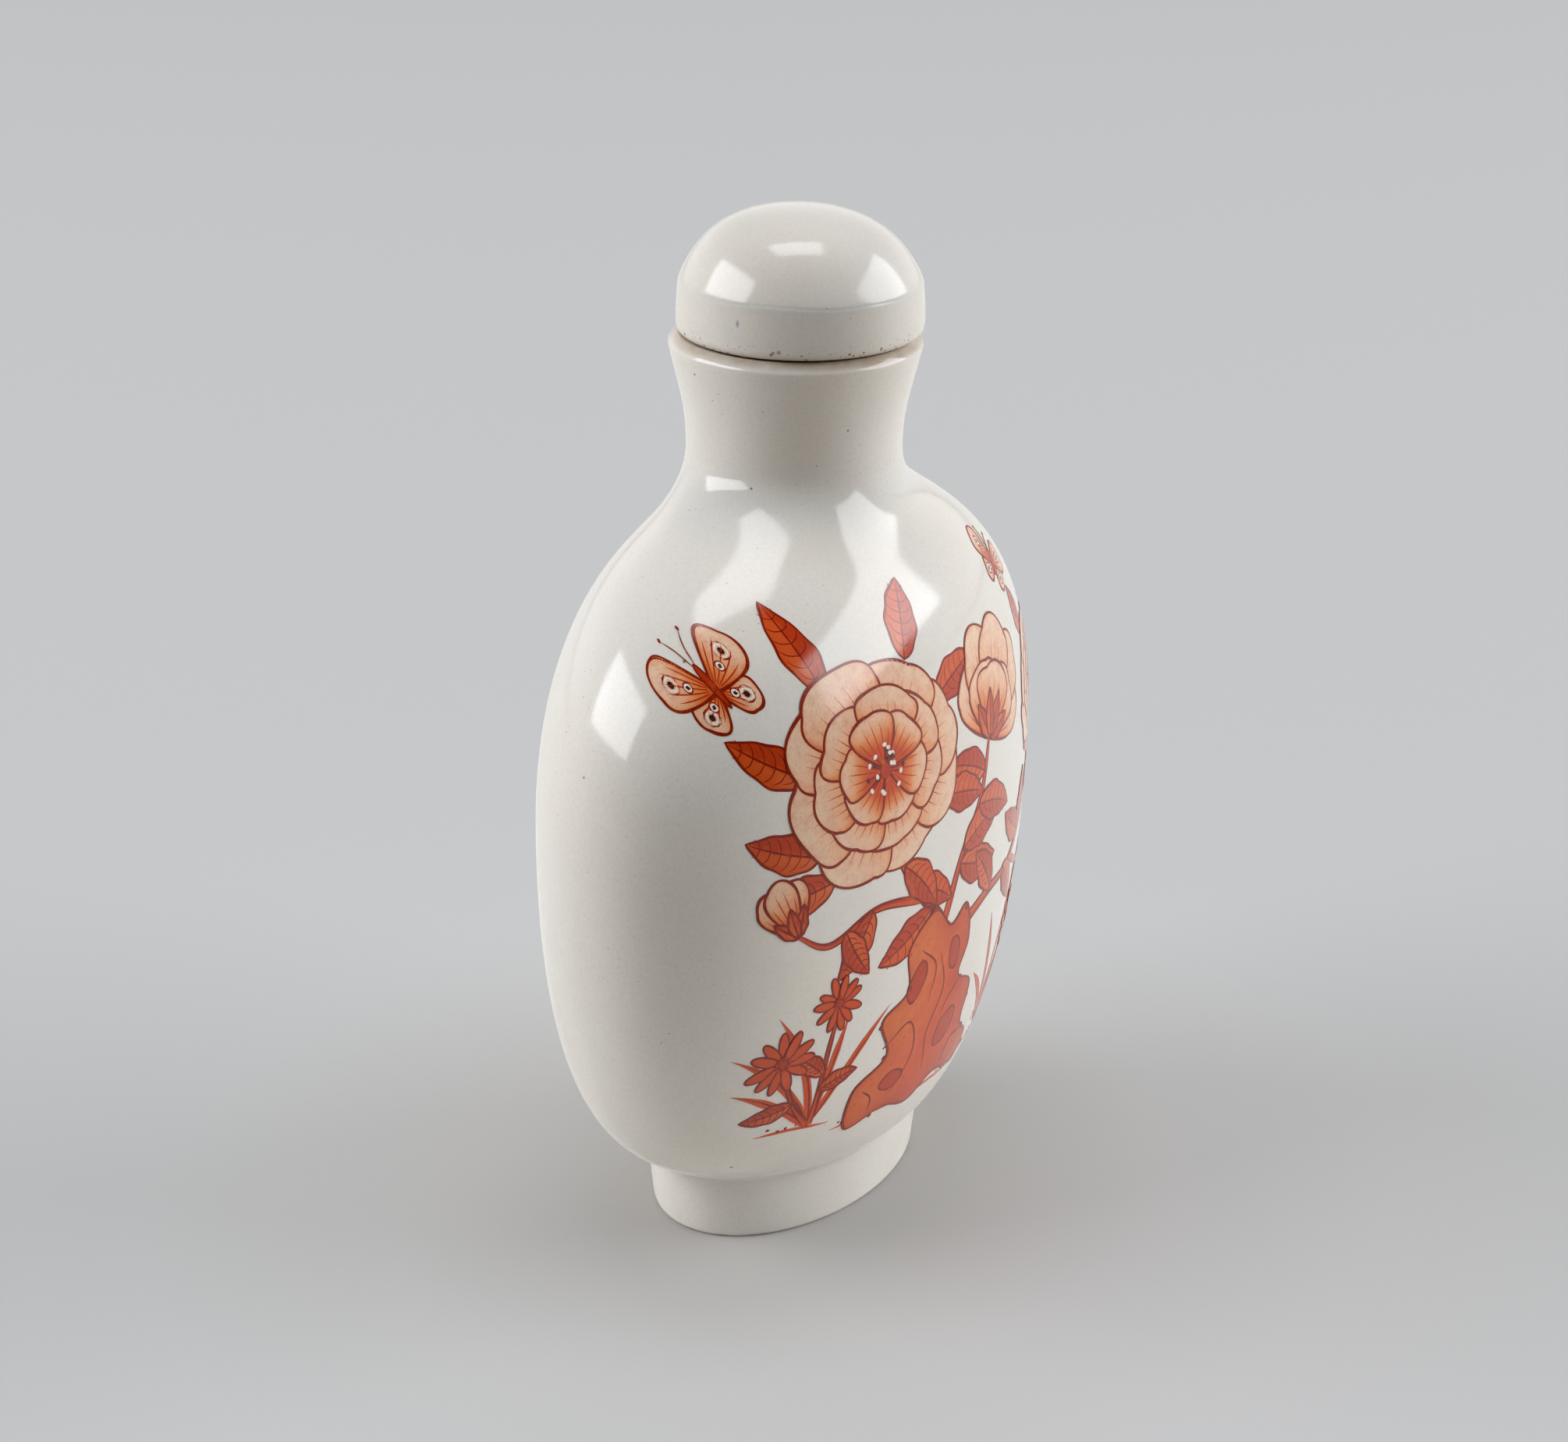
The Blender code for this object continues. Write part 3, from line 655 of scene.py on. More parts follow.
def onto_glaze(flat, lift):
    """Flat (along, up) points, laid on the -Y side of the body and lifted off its glaze."""
    along, up = np.asarray(flat, float).T
    height = np.interp(up, FRONT_TRAVEL, HEIGHTS)
    wide, deep = (np.interp(height, HEIGHTS, OUTER[:, part]) for part in (1, 2))
    turn = along / wide
    for _ in range(6):
        speed = np.hypot(wide * np.cos(turn), deep * np.sin(turn))
        turn = turn - (arc(turn, wide, deep) - along) / speed
    across, through = np.sin(turn), -np.cos(turn)
    lean_wide, lean_deep = (np.interp(height, HEIGHTS, slope) for slope in SLOPES)
    climb = -(across**2 * lean_wide / wide + through**2 * lean_deep / deep)
    normal = np.stack([across / wide, through / deep, climb], 1)
    normal /= np.linalg.norm(normal, axis=1)[:, None]
    return fired(np.stack([wide * across, deep * through, height], 1)) + normal * lift[:, None]


def xy(x, y):
    return np.stack([x, y], 1)


def spline(points, closed=False, gap=0.25):
    """A smooth row of points through the given ones."""
    points = np.asarray(points, float)
    if closed:
        points = np.vstack([points[-1:], points, points[:2]])
    else:
        points = np.vstack([2 * points[0] - points[1], points, 2 * points[-1] - points[-2]])
    row = []
    for a, b, c, d in zip(points, points[1:], points[2:], points[3:]):
        count = max(2, int(np.ceil(np.hypot(*(c - b)) / gap)))
        t = np.linspace(0, 1, count, endpoint=False)[:, None]
        square, cube = 2 * a - 5 * b + 4 * c - d, 3 * b - a - 3 * c + d
        row.append(0.5 * (2 * b + (c - a) * t + square * t**2 + cube * t**3))
    if not closed:
        row.append(points[-2:-1])
    return np.vstack(row)


def placed(at=(0.0, 0.0), turn=0.0, size=1.0, squash=1.0):
    """A move for flat points: sized, turned anticlockwise in degrees, squashed, set down."""
    c, s = cos(radians(turn)), sin(radians(turn))

    def move(points):
        x, y = np.asarray(points, float).T * size
        return xy(at[0] + c * x - s * y, at[1] + squash * (s * x + c * y))

    return move


def left_of(path, closed=False):
    """The unit step to the left of a path at each of its points."""
    around = np.roll(path, -1, axis=0) - np.roll(path, 1, axis=0)
    ahead = around if closed else np.gradient(path, axis=0)
    ahead = ahead / np.maximum(np.linalg.norm(ahead, axis=1), 1e-9)[:, None]
    return xy(-ahead[:, 1], ahead[:, 0])


def inside(points, outline):
    """Which points lie inside a closed outline."""
    x, y = points[:, :1], points[:, 1:]
    ax, ay = outline.T
    bx, by = np.roll(outline, -1, axis=0).T
    crosses = (ay > y) != (by > y)
    with np.errstate(divide="ignore", invalid="ignore"):
        where = ax + (y - ay) * (bx - ax) / (by - ay)
    return (crosses & (x < where)).sum(axis=1) % 2 == 1


def from_line(points, line):
    """How far each point is from the nearest point of a line."""
    return np.hypot(*(points[:, None] - line[None]).transpose(2, 0, 1)).min(axis=1)


def is_anticlockwise(corners):
    (ax, ay), (bx, by), (cx, cy) = corners[:3]
    return (bx - ax) * (cy - ay) > (by - ay) * (cx - ax)


def mixed(first, second, share):
    """Rows of colour between two, by a share for each row."""
    share = np.clip(np.asarray(share, float), 0, 1)[:, None]
    return np.asarray(first) * (1 - share) + np.asarray(second) * share


class Enamel:
    """Brush work in painter's order; every touch is a thin closed skin over the ones it crosses."""

    def __init__(self):
        self.points, self.lifts, self.colours, self.faces, self.laid = [], [], [], [], []
        self.count = 0
        self.lift = ENAMEL_LIFT

    def over(self, flat, layers=1.2):
        """Sets the lift to just above all fills that share ground with these points."""
        low, high = flat.min(axis=0), flat.max(axis=0)
        under = [top for a, b, top in self.laid if (a < high).all() and (low < b).all()]
        self.lift = max(under, default=ENAMEL_LIFT) + ENAMEL_STEP
        self.laid.append((low, high, self.lift + layers * ENAMEL_STEP))

    def add(self, rows, faces, colours, rise):
        """One closed skin: its rows of points at the lift, and the same rows again below."""
        flat = np.vstack([rows, rows])
        self.points.append(flat)
        self.lifts.append(np.repeat([self.lift + rise * ENAMEL_STEP, ENAMEL_SUNK], len(rows)))
        self.colours.append(np.broadcast_to(colours, (len(flat), 3)))
        self.faces += [[self.count + int(corner) for corner in face] for face in faces]
        self.count += len(flat)

    def fill(self, outline, colour, move, gap=0.34, grid_gap=0.42):
        """A shape filled with one colour, or with what colour gives for rows of its points."""
        outline = np.asarray(outline, float)
        low, high = outline.min(axis=0), outline.max(axis=0)
        ups = np.arange(low[1], high[1], grid_gap * 0.87)
        x, y = np.meshgrid(np.arange(low[0], high[0], grid_gap), ups)
        x = x + (np.arange(len(x)) % 2)[:, None] * grid_gap / 2
        grid = xy(x.ravel(), y.ravel())
        grid = grid[inside(grid, outline)]
        grid = grid[from_line(grid, outline) > 0.4 * gap]
        spots = [Vector(point) for point in np.vstack([outline, grid])]
        rim = [(i, (i + 1) % len(outline)) for i in range(len(outline))]
        spots, _, faces, *_ = delaunay_2d_cdt(spots, rim, [], 1, 1e-6)
        spots = np.array([tuple(point) for point in spots])
        faces = [f if is_anticlockwise(spots[f]) else f[::-1] for f in map(list, faces)]
        sides = {(a, b) for face in faces for a, b in zip(face, face[1:] + face[:1])}
        n = len(spots)
        walls = [(b, a, a + n, b + n) for a, b in sorted(sides) if (b, a) not in sides]
        under = [[corner + n for corner in face[::-1]] for face in faces]
        colours = colour(spots) if callable(colour) else np.tile(colour, (n, 1))
        flat = move(spots)
        self.over(flat)
        self.add(flat, faces + walls + under, np.vstack([colours, colours]), 0)

    def band(self, path, half, colour, closed, rise):
        """A line of the given half widths along a path."""
        n = len(path)
        aside = left_of(path, closed) * half[:, None]
        faces = []
        for a in range(n if closed else n - 1):
            b = (a + 1) % n
            c, d = n + a, n + b
            faces += [(a, c, d, b), (a + 2 * n, b + 2 * n, d + 2 * n, c + 2 * n)]
            faces += [(a, b, b + 2 * n, a + 2 * n), (c, c + 2 * n, d + 2 * n, d)]
        if not closed:
            faces += [(0, 2 * n, 3 * n, n), (n - 1, 2 * n - 1, 4 * n - 1, 3 * n - 1)]
        self.add(np.vstack([path + aside, path - aside]), faces, colour, rise)

    def stroke(self, path, width, colour, move=placed(), ends=(0.3, 0.12), rise=0.6):
        """A brush line that swells and thins; ends are its widths at start and end, as shares."""
        t = np.linspace(0, 1, len(path))
        first, last = ends
        swell = np.minimum(1, first + (1 - first) * t / 0.22)
        swell = swell * np.minimum(1, last + (1 - last) * (1 - t) / 0.3)
        self.band(move(path), width / 2 * swell, colour, False, rise)

    def ring(self, outline, width, colour, move, wobble=0.25, seed=0.0):
        """A closed line of uneven width along an outline."""
        t = round_turns(len(outline))
        swell = 1 + wobble * (0.6 * np.sin(3 * t + seed) + 0.4 * np.sin(7 * t + 2.3 * seed))
        self.band(move(outline), width / 2 * swell, colour, True, 0.6)

    def dot(self, centre, radius, colour, squash=1.0, turn=0.0, rise=1.2):
        n = 10
        t = round_turns(n)
        rows = placed(centre, turn)(xy(radius * np.cos(t), radius * squash * np.sin(t)))
        faces = [list(range(n)), list(range(2 * n - 1, n - 1, -1))]
        faces += [((i + 1) % n, i, i + n, (i + 1) % n + n) for i in range(n)]
        self.add(rows, faces, colour, rise)

    def piece(self, name, finish):
        flat, lifts = np.vstack(self.points), np.concatenate(self.lifts)
        piece = new_piece(name, onto_glaze(flat, lifts), self.faces, sharp=60)
        paint = piece.data.color_attributes.new("paint", "FLOAT_COLOR", "POINT")
        colours = np.concatenate([np.vstack(self.colours), np.ones((len(flat), 1))], axis=1)
        paint.data.foreach_set("color", colours.astype(np.float32).ravel())
        dress(piece, finish, "bottle", "body_glaze")


# Motifs
PALE = tint(237, 208, 182)
PEACH = tint(231, 144, 80)
ORANGE = tint(205, 74, 22)
RUST = tint(180, 50, 10)
DARK = tint(126, 26, 6)
WHITE = tint(240, 238, 231)
BLACK = tint(34, 31, 29)


def enamel_finish():
    shades = Shades("iron_red_enamel", PALE)
    shades.colour = shades.add("ShaderNodeVertexColor", {"layer_name": "paint"}).outputs["Color"]
    shades.coat(shades.patches(0.7, 0.4, 0.75, 0.0, 0.22, detail=3.0), RUST)
    shades.coat(shades.patches(1.6, 0.54, 0.8, 0.0, 0.15, detail=4.0, roughness=0.62), PEACH)
    shades.coat(shades.patches(0.14, 0.56, 0.72, 0.0, 0.3, detail=1.0), ORANGE)
    relief = shades.bump(shades.noise(0.25), 0.0015, Normal=glaze_relief(shades))
    return shades.finish(ENAMEL_ROUGHNESS, Normal=relief)


def petal_shape(length, width, ruffle, lobes, dice):
    """A petal's outline from its base at the origin, with a ruffled tip up the page."""
    t = round_turns(72)
    rise = (1 - np.cos(t)) / 2
    shape = xy(width * 0.62 * np.sin(t) * (0.3 + 0.85 * rise), length * rise)
    phases = dice.uniform(0, pi, 2)
    wave = np.abs(np.cos(lobes * (t - pi) * 0.8 + phases[0])) ** 0.8 - 0.55
    wave = wave + 0.35 * np.sin(5 * (t - pi) + phases[1])
    away = shape - (0.0, 0.5 * length)
    away /= np.linalg.norm(away, axis=1)[:, None]
    return shape + away * (ruffle * rise**2 * wave)[:, None]


def paint_petal(
    enamel, at, turn, length, width, dice, ruffle, depth, veins=7, lobes=3, squash=1.0
):
    """One petal: a wash that deepens to its base and rim, veins and an outline."""
    shape = petal_shape(length, width, ruffle, lobes, dice)
    move = placed(at, turn, 1.0, squash)

    def wash(points):
        up = points[:, 1] / length
        rim = from_line(points, shape)
        strength = 1.2 * depth * (1.08 - up) ** 1.5 + 0.3 * np.clip(1 - rim / 0.45, 0, 1) ** 2
        return mixed(mixed(PALE, PEACH, strength / 0.62), ORANGE, (strength - 0.5) / 0.55)

    enamel.fill(shape, wash, move)
    for k in np.linspace(-0.78, 0.78, veins):
        q = np.linspace(0.12, 0.88 - 0.32 * k * k - 0.06 * dice.random(), 12)
        x = width * 0.5 * k * np.sin(np.minimum(q / 0.85, 1) * pi / 2) * (0.92 + 0.08 * q)
        enamel.stroke(xy(x, length * q), 0.085, RUST, move, ends=(0.9, 0.1))
    enamel.ring(shape, 0.19, DARK, move, seed=dice.uniform(0, 6))


def paint_petals(enamel, at, turn, size, petals, dice, ruffle, *look):
    """Petals from one point, each given by its lean, length and width in shares of the size."""
    for lean, length, width in petals:
        paint_petal(
            enamel, at, turn + lean, size * length, size * width, dice, ruffle * size, *look
        )


def paint_leaves(enamel, at, turn, leans, length, width, bend):
    """Small plain leaves from one point, bent away from the middle."""
    for lean in leans:
        paint_leaf(enamel, at, turn + lean, length, width, bend * np.sign(lean + 0.1), veins=0)


def paint_peony(enamel, at, size, tilt, dice):
    """A full bloom seen a little from below, its petals in three rings round the heart."""
    squash = 0.9
    outer = (8, 8.0, 1.0, 0.86, 0.16, 0.92, 7)
    middle = (7, 30.0, 0.76, 0.66, 0.1, 1.15, 7)
    inner = (6, 4.0, 0.52, 0.5, 0.05, 1.45, 5)
    for count, start, length, width, offset, depth, veins in (outer, middle, inner):
        order = sorted(range(count), key=lambda k: -cos(radians(start + 360 * k / count)))
        for k in order[::-1]:
            turn = tilt + start + 360 * k / count + dice.uniform(-7, 7)
            base = placed(at, turn, 1.0, squash)([(0.0, size * offset)])[0]
            reach = size * (length - offset) * dice.uniform(0.93, 1.06)
            breadth = size * width * dice.uniform(0.94, 1.08)
            look = 0.055 * size * length, depth, veins, int(dice.integers(2, 4)), squash
            paint_petal(enamel, base, turn, reach, breadth, dice, *look)
    paint_heart(enamel, at, 0.2 * size)
    for k in range(22):
        turn, reach = dice.uniform(0, 360), size * (0.05 + 0.17 * sqrt(dice.random()))
        root, tip = placed(at, turn)([(0.0, 0.3 * reach), (0.0, reach)])
        enamel.stroke(np.linspace(root, tip, 4), 0.1, DARK, ends=(0.8, 0.6))
        enamel.dot(tip, 0.024 * size, WHITE if k % 3 else BLACK, 0.75, turn, 1.2 + 0.05 * k)
    enamel.dot(at, 0.062 * size, RUST, rise=2.4)


def paint_heart(enamel, at, reach):
    """Clears the way for the small touches in the middle of a flower."""
    enamel.over(np.array([at]) + [[-reach, -reach], [reach, reach]], 3.0)


def paint_side_bloom(enamel, at, size, turn, dice):
    """A half-open bloom seen from the side, rising from its calyx."""
    back = (-52, 0.8, 0.62), (50, 0.82, 0.62), (-28, 0.98, 0.66), (27, 1.0, 0.66), (0, 1.02, 0.7)
    front = (-30, 0.66, 0.6), (31, 0.68, 0.6), (2, 0.62, 0.72)
    paint_petals(enamel, at, turn, size, back, dice, 0.05, 0.8)
    paint_petals(enamel, at, turn, size, front, dice, 0.05, 1.1, 5)
    paint_leaves(enamel, at, turn, (-62, 60, -22, 20), size * 0.42, size * 0.17, 0.1)


def paint_bud(enamel, at, size, turn, dice):
    petals = (-16, 0.92, 0.5), (15, 0.94, 0.5), (0, 1.0, 0.52)
    paint_petals(enamel, at, turn, size, petals, dice, 0.03, 1.0, 4, 2)
    paint_leaves(enamel, at, turn, (-40, 38, 0), size * 0.5, size * 0.2, 0.12)


def paint_leaf(enamel, at, turn, length, width, bend, veins=6):
    """A pointed leaf from its stalk end: two washes either side of the midrib, veins, outline."""
    t = np.linspace(0, 1, 26)
    rib = xy(bend * length * t**2, length * t)
    half = width / 2 * np.sin(pi * t**0.8) ** 0.85 * (1 + 0.05 * np.sin(19 * t))
    aside = half[:, None] * left_of(rib)
    shape = np.vstack([rib - aside, (rib + aside)[-2:0:-1]])
    move = placed(at, turn)

    def wash(points):
        up = np.clip(points[:, 1] / length, 0, 1)
        side = (points[:, 0] - bend * length * up**2) / (width / 2)
        deep = mixed(ORANGE, RUST, 0.5 + 0.5 * np.sign(side))
        light = mixed(PEACH, ORANGE, 0.55 + 0.45 * up)
        return mixed(light, deep, np.where(side > 0, 0.9, 0.3 + 0.6 * np.abs(side) ** 2))

    enamel.fill(shape, wash, move)
    for k in range(veins):
        q = 0.14 + 0.68 * k / max(veins - 1, 1)
        root = np.array([bend * length * q**2, length * q])
        for side in (-1, 1):
            span = width / 2 * sin(pi * q**0.8) ** 0.85 * 0.86
            tip = root + np.array([side * span, 0.16 * length * (1 - 0.5 * q)])
            middle = (root + tip) / 2 + np.array([side * 0.06 * width, -0.02 * length])
            enamel.stroke(spline([root, middle, tip], gap=0.3), 0.08, DARK, move, (0.9, 0.2))
    enamel.stroke(rib[:-1], 0.15, DARK, move, ends=(0.9, 0.3))
    enamel.ring(shape, 0.17, DARK, move, seed=turn)


def paint_branch(enamel, points, width, knots):
    """A woody stem that thins towards its end, shaded on one side."""
    path = spline(points, gap=0.35)
    t = np.linspace(0, 1, len(path))
    half = (width / 2 * (1 - 0.55 * t) * (1 + 0.12 * np.sin(9 * t + 1)))[:, None]
    aside = half * left_of(path)
    left, right = path + aside, path - aside
    enamel.fill(np.vstack([left, right[::-1]]), ORANGE, placed())
    enamel.stroke(path - 0.4 * aside, width * 0.34, RUST, rise=0.4)
    enamel.stroke(left, 0.14, DARK)
    enamel.stroke(right, 0.2, DARK, rise=0.8)
    for share in knots:
        enamel.dot(path[int(share * (len(path) - 1))], width * 0.34, DARK, 0.7)


ROCK_OUTLINE = (
    (-0.9, -1.0), (-0.98, -0.55), (-0.62, -0.3), (-0.78, 0.1), (-0.45, 0.3), (-0.5, 0.72),
    (-0.12, 0.98), (0.2, 0.72), (0.5, 0.82), (0.62, 0.42), (0.48, 0.12), (0.82, -0.1),
    (0.78, -0.5), (1.05, -0.75), (0.95, -1.02), (0.4, -0.9), (0.0, -1.05), (-0.45, -0.92),
)
ROCK_HOLES = (
    (-0.32, 0.34, 0.12, 0.2, -20), (0.32, 0.4, 0.1, 0.17, 15),
    (0.36, -0.38, 0.2, 0.15, 25), (-0.45, -0.62, 0.16, 0.1, -10),
)
ROCK_FOLDS = (
    ((-0.7, -0.2), (-0.35, -0.05), (-0.2, -0.4), (-0.4, -0.8)),
    ((-0.3, 0.65), (-0.02, 0.4), (-0.08, 0.05)),
    ((0.05, 0.5), (0.18, 0.1), (0.0, -0.3), (0.1, -0.75)),
    ((0.5, 0.05), (0.3, -0.08), (0.22, -0.2)),
    ((0.85, -0.6), (0.6, -0.62), (0.5, -0.85)),
    ((-0.85, -0.6), (-0.7, -0.72), (-0.66, -0.9)),
)


def paint_rock(enamel, at, size, turn, dice):
    """A weathered garden rock with hollows, shaded by small stipples."""
    outline = spline(ROCK_OUTLINE, closed=True, gap=0.05)
    move = placed(at, turn, size)

    def wash(points):
        rim = from_line(points, outline)
        shade = np.clip(0.42 + 0.5 * points[:, 0] - 0.25 * points[:, 1], 0, 1)
        base = mixed(PEACH, ORANGE, 0.4 + 1.1 * shade)
        return mixed(base, RUST, np.clip(1 - rim / 0.32, 0, 1) ** 1.3 * (0.4 + 0.6 * shade))

    enamel.fill(outline, wash, move, gap=0.34 / size, grid_gap=0.42 / size)
    t = round_turns(28)
    for x, y, wide, tall, lean in ROCK_HOLES:
        hole = xy(wide * np.cos(t) * (1 + 0.15 * np.sin(2 * t)), tall * np.sin(t))
        hole = placed((x, y), lean)(hole)
        enamel.fill(hole, RUST, move, gap=0.2 / size, grid_gap=0.3 / size)
        enamel.ring(hole, 0.17, DARK, move, seed=x)
    for fold in ROCK_FOLDS:
        enamel.stroke(spline(fold, gap=0.05), 0.17, DARK, move)
    enamel.ring(outline, 0.2, DARK, move, wobble=0.35)
    moss = outline[::9] * 0.99
    for spot in move(moss[dice.permutation(len(moss))[:16]]):
        enamel.dot(spot + dice.uniform(-0.25, 0.25, 2), dice.uniform(0.12, 0.22), DARK)
    for _ in range(150):
        spot = dice.uniform(-1, 1, (1, 2))
        rim = from_line(spot, outline)[0]
        if inside(spot, outline)[0] and rim < 0.34 * dice.random() + 0.04:
            enamel.dot(move(spot)[0], dice.uniform(0.045, 0.085), RUST)


def paint_butterfly(enamel, at, size, turn, dice):
    """A butterfly from above, with ringed spots on its wings."""
    spots = (1.5, DARK, 1.2), (1.1, WHITE, 1.8), (0.55, BLACK, 2.4)
    for wing in ((-122, 0.62, 0.5), (122, 0.62, 0.5), (-62, 0.95, 0.62), (62, 0.95, 0.62)):
        paint_petals(enamel, at, turn, size, [wing], dice, 0.035, 0.75, 5, 2)
        lean, length, _ = wing
        for share, radius in ((0.68, 0.085), (0.42, 0.05)):
            centre = placed(at, turn + lean)([(0.0, size * length * share)])[0]
            for wide, colour, rise in spots:
                enamel.dot(centre, size * radius * wide, colour, rise=rise)
    move = placed(at, turn, size)
    t = round_turns(24)
    body = xy(0.055 * np.sin(t) * (1 + 0.3 * np.cos(t)), 0.05 + 0.3 * np.cos(t))
    enamel.fill(body, RUST, move, gap=0.1, grid_gap=0.12)
    enamel.ring(body, 0.13, DARK, move)
    for side in (-1, 1):
        feeler = spline([(0.02 * side, 0.32), (0.1 * side, 0.55), (0.24 * side, 0.72)], gap=0.04)
        enamel.stroke(feeler, 0.09, DARK, move)
        enamel.dot(move(feeler[-1:])[0], 0.12, DARK)


def paint_grass(enamel, at, blades):
    """Long leaves that spring from one root and arch over."""
    t = np.linspace(0, 1, 30)
    for lean, length, bend in blades:
        x = length * (np.sin(radians(lean)) * t + bend * t**2)
        path = xy(x, length * (cos(radians(lean)) * t - 0.4 * abs(bend) * t**3))
        move = placed(at)
        enamel.over(move(path))
        enamel.stroke(path, 0.62, ORANGE, move, ends=(0.35, 0.0))
        enamel.stroke(path[:-3] + [[0.09, 0.0]], 0.13, DARK, move, ends=(0.5, 0.1), rise=1.2)


def paint_ground(enamel, rows, dice):
    """Short uneven strokes of earth, with a few dots over each."""
    t = np.linspace(0, 1, 16)
    for x, y, length in rows:
        up = y + 0.18 * np.sin(pi * t * 1.4) + 0.05 * dice.standard_normal()
        path = xy(x + length * t, up)
        enamel.over(path)
        enamel.stroke(path, 0.26, ORANGE, ends=(0.1, 0.05))
        for _ in range(int(length)):
            spot = x + length * dice.random(), y + dice.uniform(0.25, 0.6)
            enamel.dot(spot, dice.uniform(0.07, 0.14), DARK)


def paint_aster(enamel, at, size, turn, dice):
    """A small flower of narrow petals round a dark eye."""
    t = round_turns(22)
    for k in range(11):
        lean = turn + 360 * k / 11 + dice.uniform(-5, 5)
        shape = xy(0.15 * size * np.sin(t), size * (0.56 - 0.44 * np.cos(t)))
        shape = shape * dice.uniform(0.9, 1.06)
        enamel.fill(shape, ORANGE, placed(at, lean), gap=0.2)
        enamel.ring(shape, 0.13, DARK, placed(at, lean), seed=lean)
    paint_heart(enamel, at, 0.24 * size)
    enamel.dot(at, 0.24 * size, RUST)
    for k in range(7):
        spot = at[0] + 0.15 * size * cos(k * 0.9), at[1] + 0.15 * size * sin(k * 0.9)
        enamel.dot(spot, 0.05 * size, DARK, rise=2.4)


# The picture: where each motif stands, as (along, up) in millimetres
SEED = 11
GROUND = (
    (-19.5, 11.0, 6), (-13, 9.8, 7), (-6, 9.3, 8), (2, 9.6, 7), (8, 10.4, 6), (-9, 10.9, 4),
    (5, 11.4, 4),
)
LEFT_BLADES = (-44, 7, -0.3), (-28, 9.5, -0.32), (-12, 11, -0.2), (4, 9, 0.1), (20, 9.5, 0.25)
RIGHT_BLADES = (-20, 7, -0.25), (-4, 10, -0.1), (12, 11.5, 0.25), (28, 9, 0.32), (44, 7, 0.3)
BRANCHES = (
    ([(-3.0, 19), (-4.6, 23.2), (-8.0, 26.8), (-10.8, 31.2), (-12.0, 35)], 1.1, (0.35, 0.6)),
    ([(-4.4, 22.8), (-2.2, 27.4), (0.4, 30.6), (1.8, 34.6)], 0.75, (0.4,)),
    ([(-7.4, 26.0), (-12.4, 26.8), (-16.6, 25.4), (-19.4, 26.8)], 0.6, ()),
    ([(-3.4, 21.2), (2.4, 22.6), (8.4, 23.2), (12.8, 26.4), (15.4, 31.0)], 0.85, (0.3, 0.55)),
    ([(8.2, 23.2), (12.6, 21.4), (17.0, 22.2)], 0.5, ()),
    ([(-15.6, 11.2), (-17.6, 13.6), (-19.0, 16.6)], 0.4, ()),
    ([(-15.4, 11.2), (-15.6, 16.2), (-15.2, 20.2)], 0.4, ()),
    ([(6.6, 10.8), (9.6, 14.0), (11.4, 16.4)], 0.4, ()),
)
STEM_LEAVES = (
    (-12.8, 26.8, 158, 5.0, 2.3, 0.2), (-15.2, 26.0, 205, 4.4, 2.0, -0.15),
    (-6.2, 24.8, 122, 6.0, 2.7, 0.15), (-5.0, 24.0, 182, 5.0, 2.4, 0.2),
    (-2.4, 26.8, 246, 6.2, 2.8, -0.2), (-2.0, 27.8, 292, 6.4, 2.9, 0.2),
    (0.2, 30.2, 262, 6.2, 2.7, 0.18), (1.0, 32.4, 58, 5.6, 2.5, -0.2),
    (-8.2, 27.0, 255, 5.2, 2.4, 0.2), (-9.6, 29.0, 236, 5.6, 2.6, 0.2),
    (3.4, 22.8, 30, 5.0, 2.4, -0.2), (6.4, 23.2, 232, 4.8, 2.2, 0.2),
    (10.6, 24.6, 70, 5.2, 2.3, 0.2), (10.2, 24.4, -30, 4.6, 2.1, -0.2),
    (13.6, 27.6, 250, 5.6, 2.5, -0.2), (14.4, 29.4, 50, 5.0, 2.3, 0.2),
    (13.4, 21.4, 150, 4.0, 1.8, 0.2), (-17.6, 13.6, 116, 3.6, 1.5, 0.2),
    (-15.6, 15.4, 42, 3.4, 1.4, -0.2), (-15.6, 14.2, -66, 3.2, 1.4, 0.2),
    (9.0, 13.4, -58, 3.6, 1.5, 0.2),
)
BIG_BLOOM_LEAVES = (
    (-17.6, 32.0, 78), (-16.4, 30.0, 104), (-5.4, 39.6, -66), (-5.0, 32.6, -98),
    (-7.8, 43.0, -22), (-15.4, 42.6, 12), (-18.2, 37.4, 66),
)
SMALL_BLOOM_LEAVES = (19.0, 33.6, -78), (18.4, 38.2, -40), (12.6, 38.6, 34)


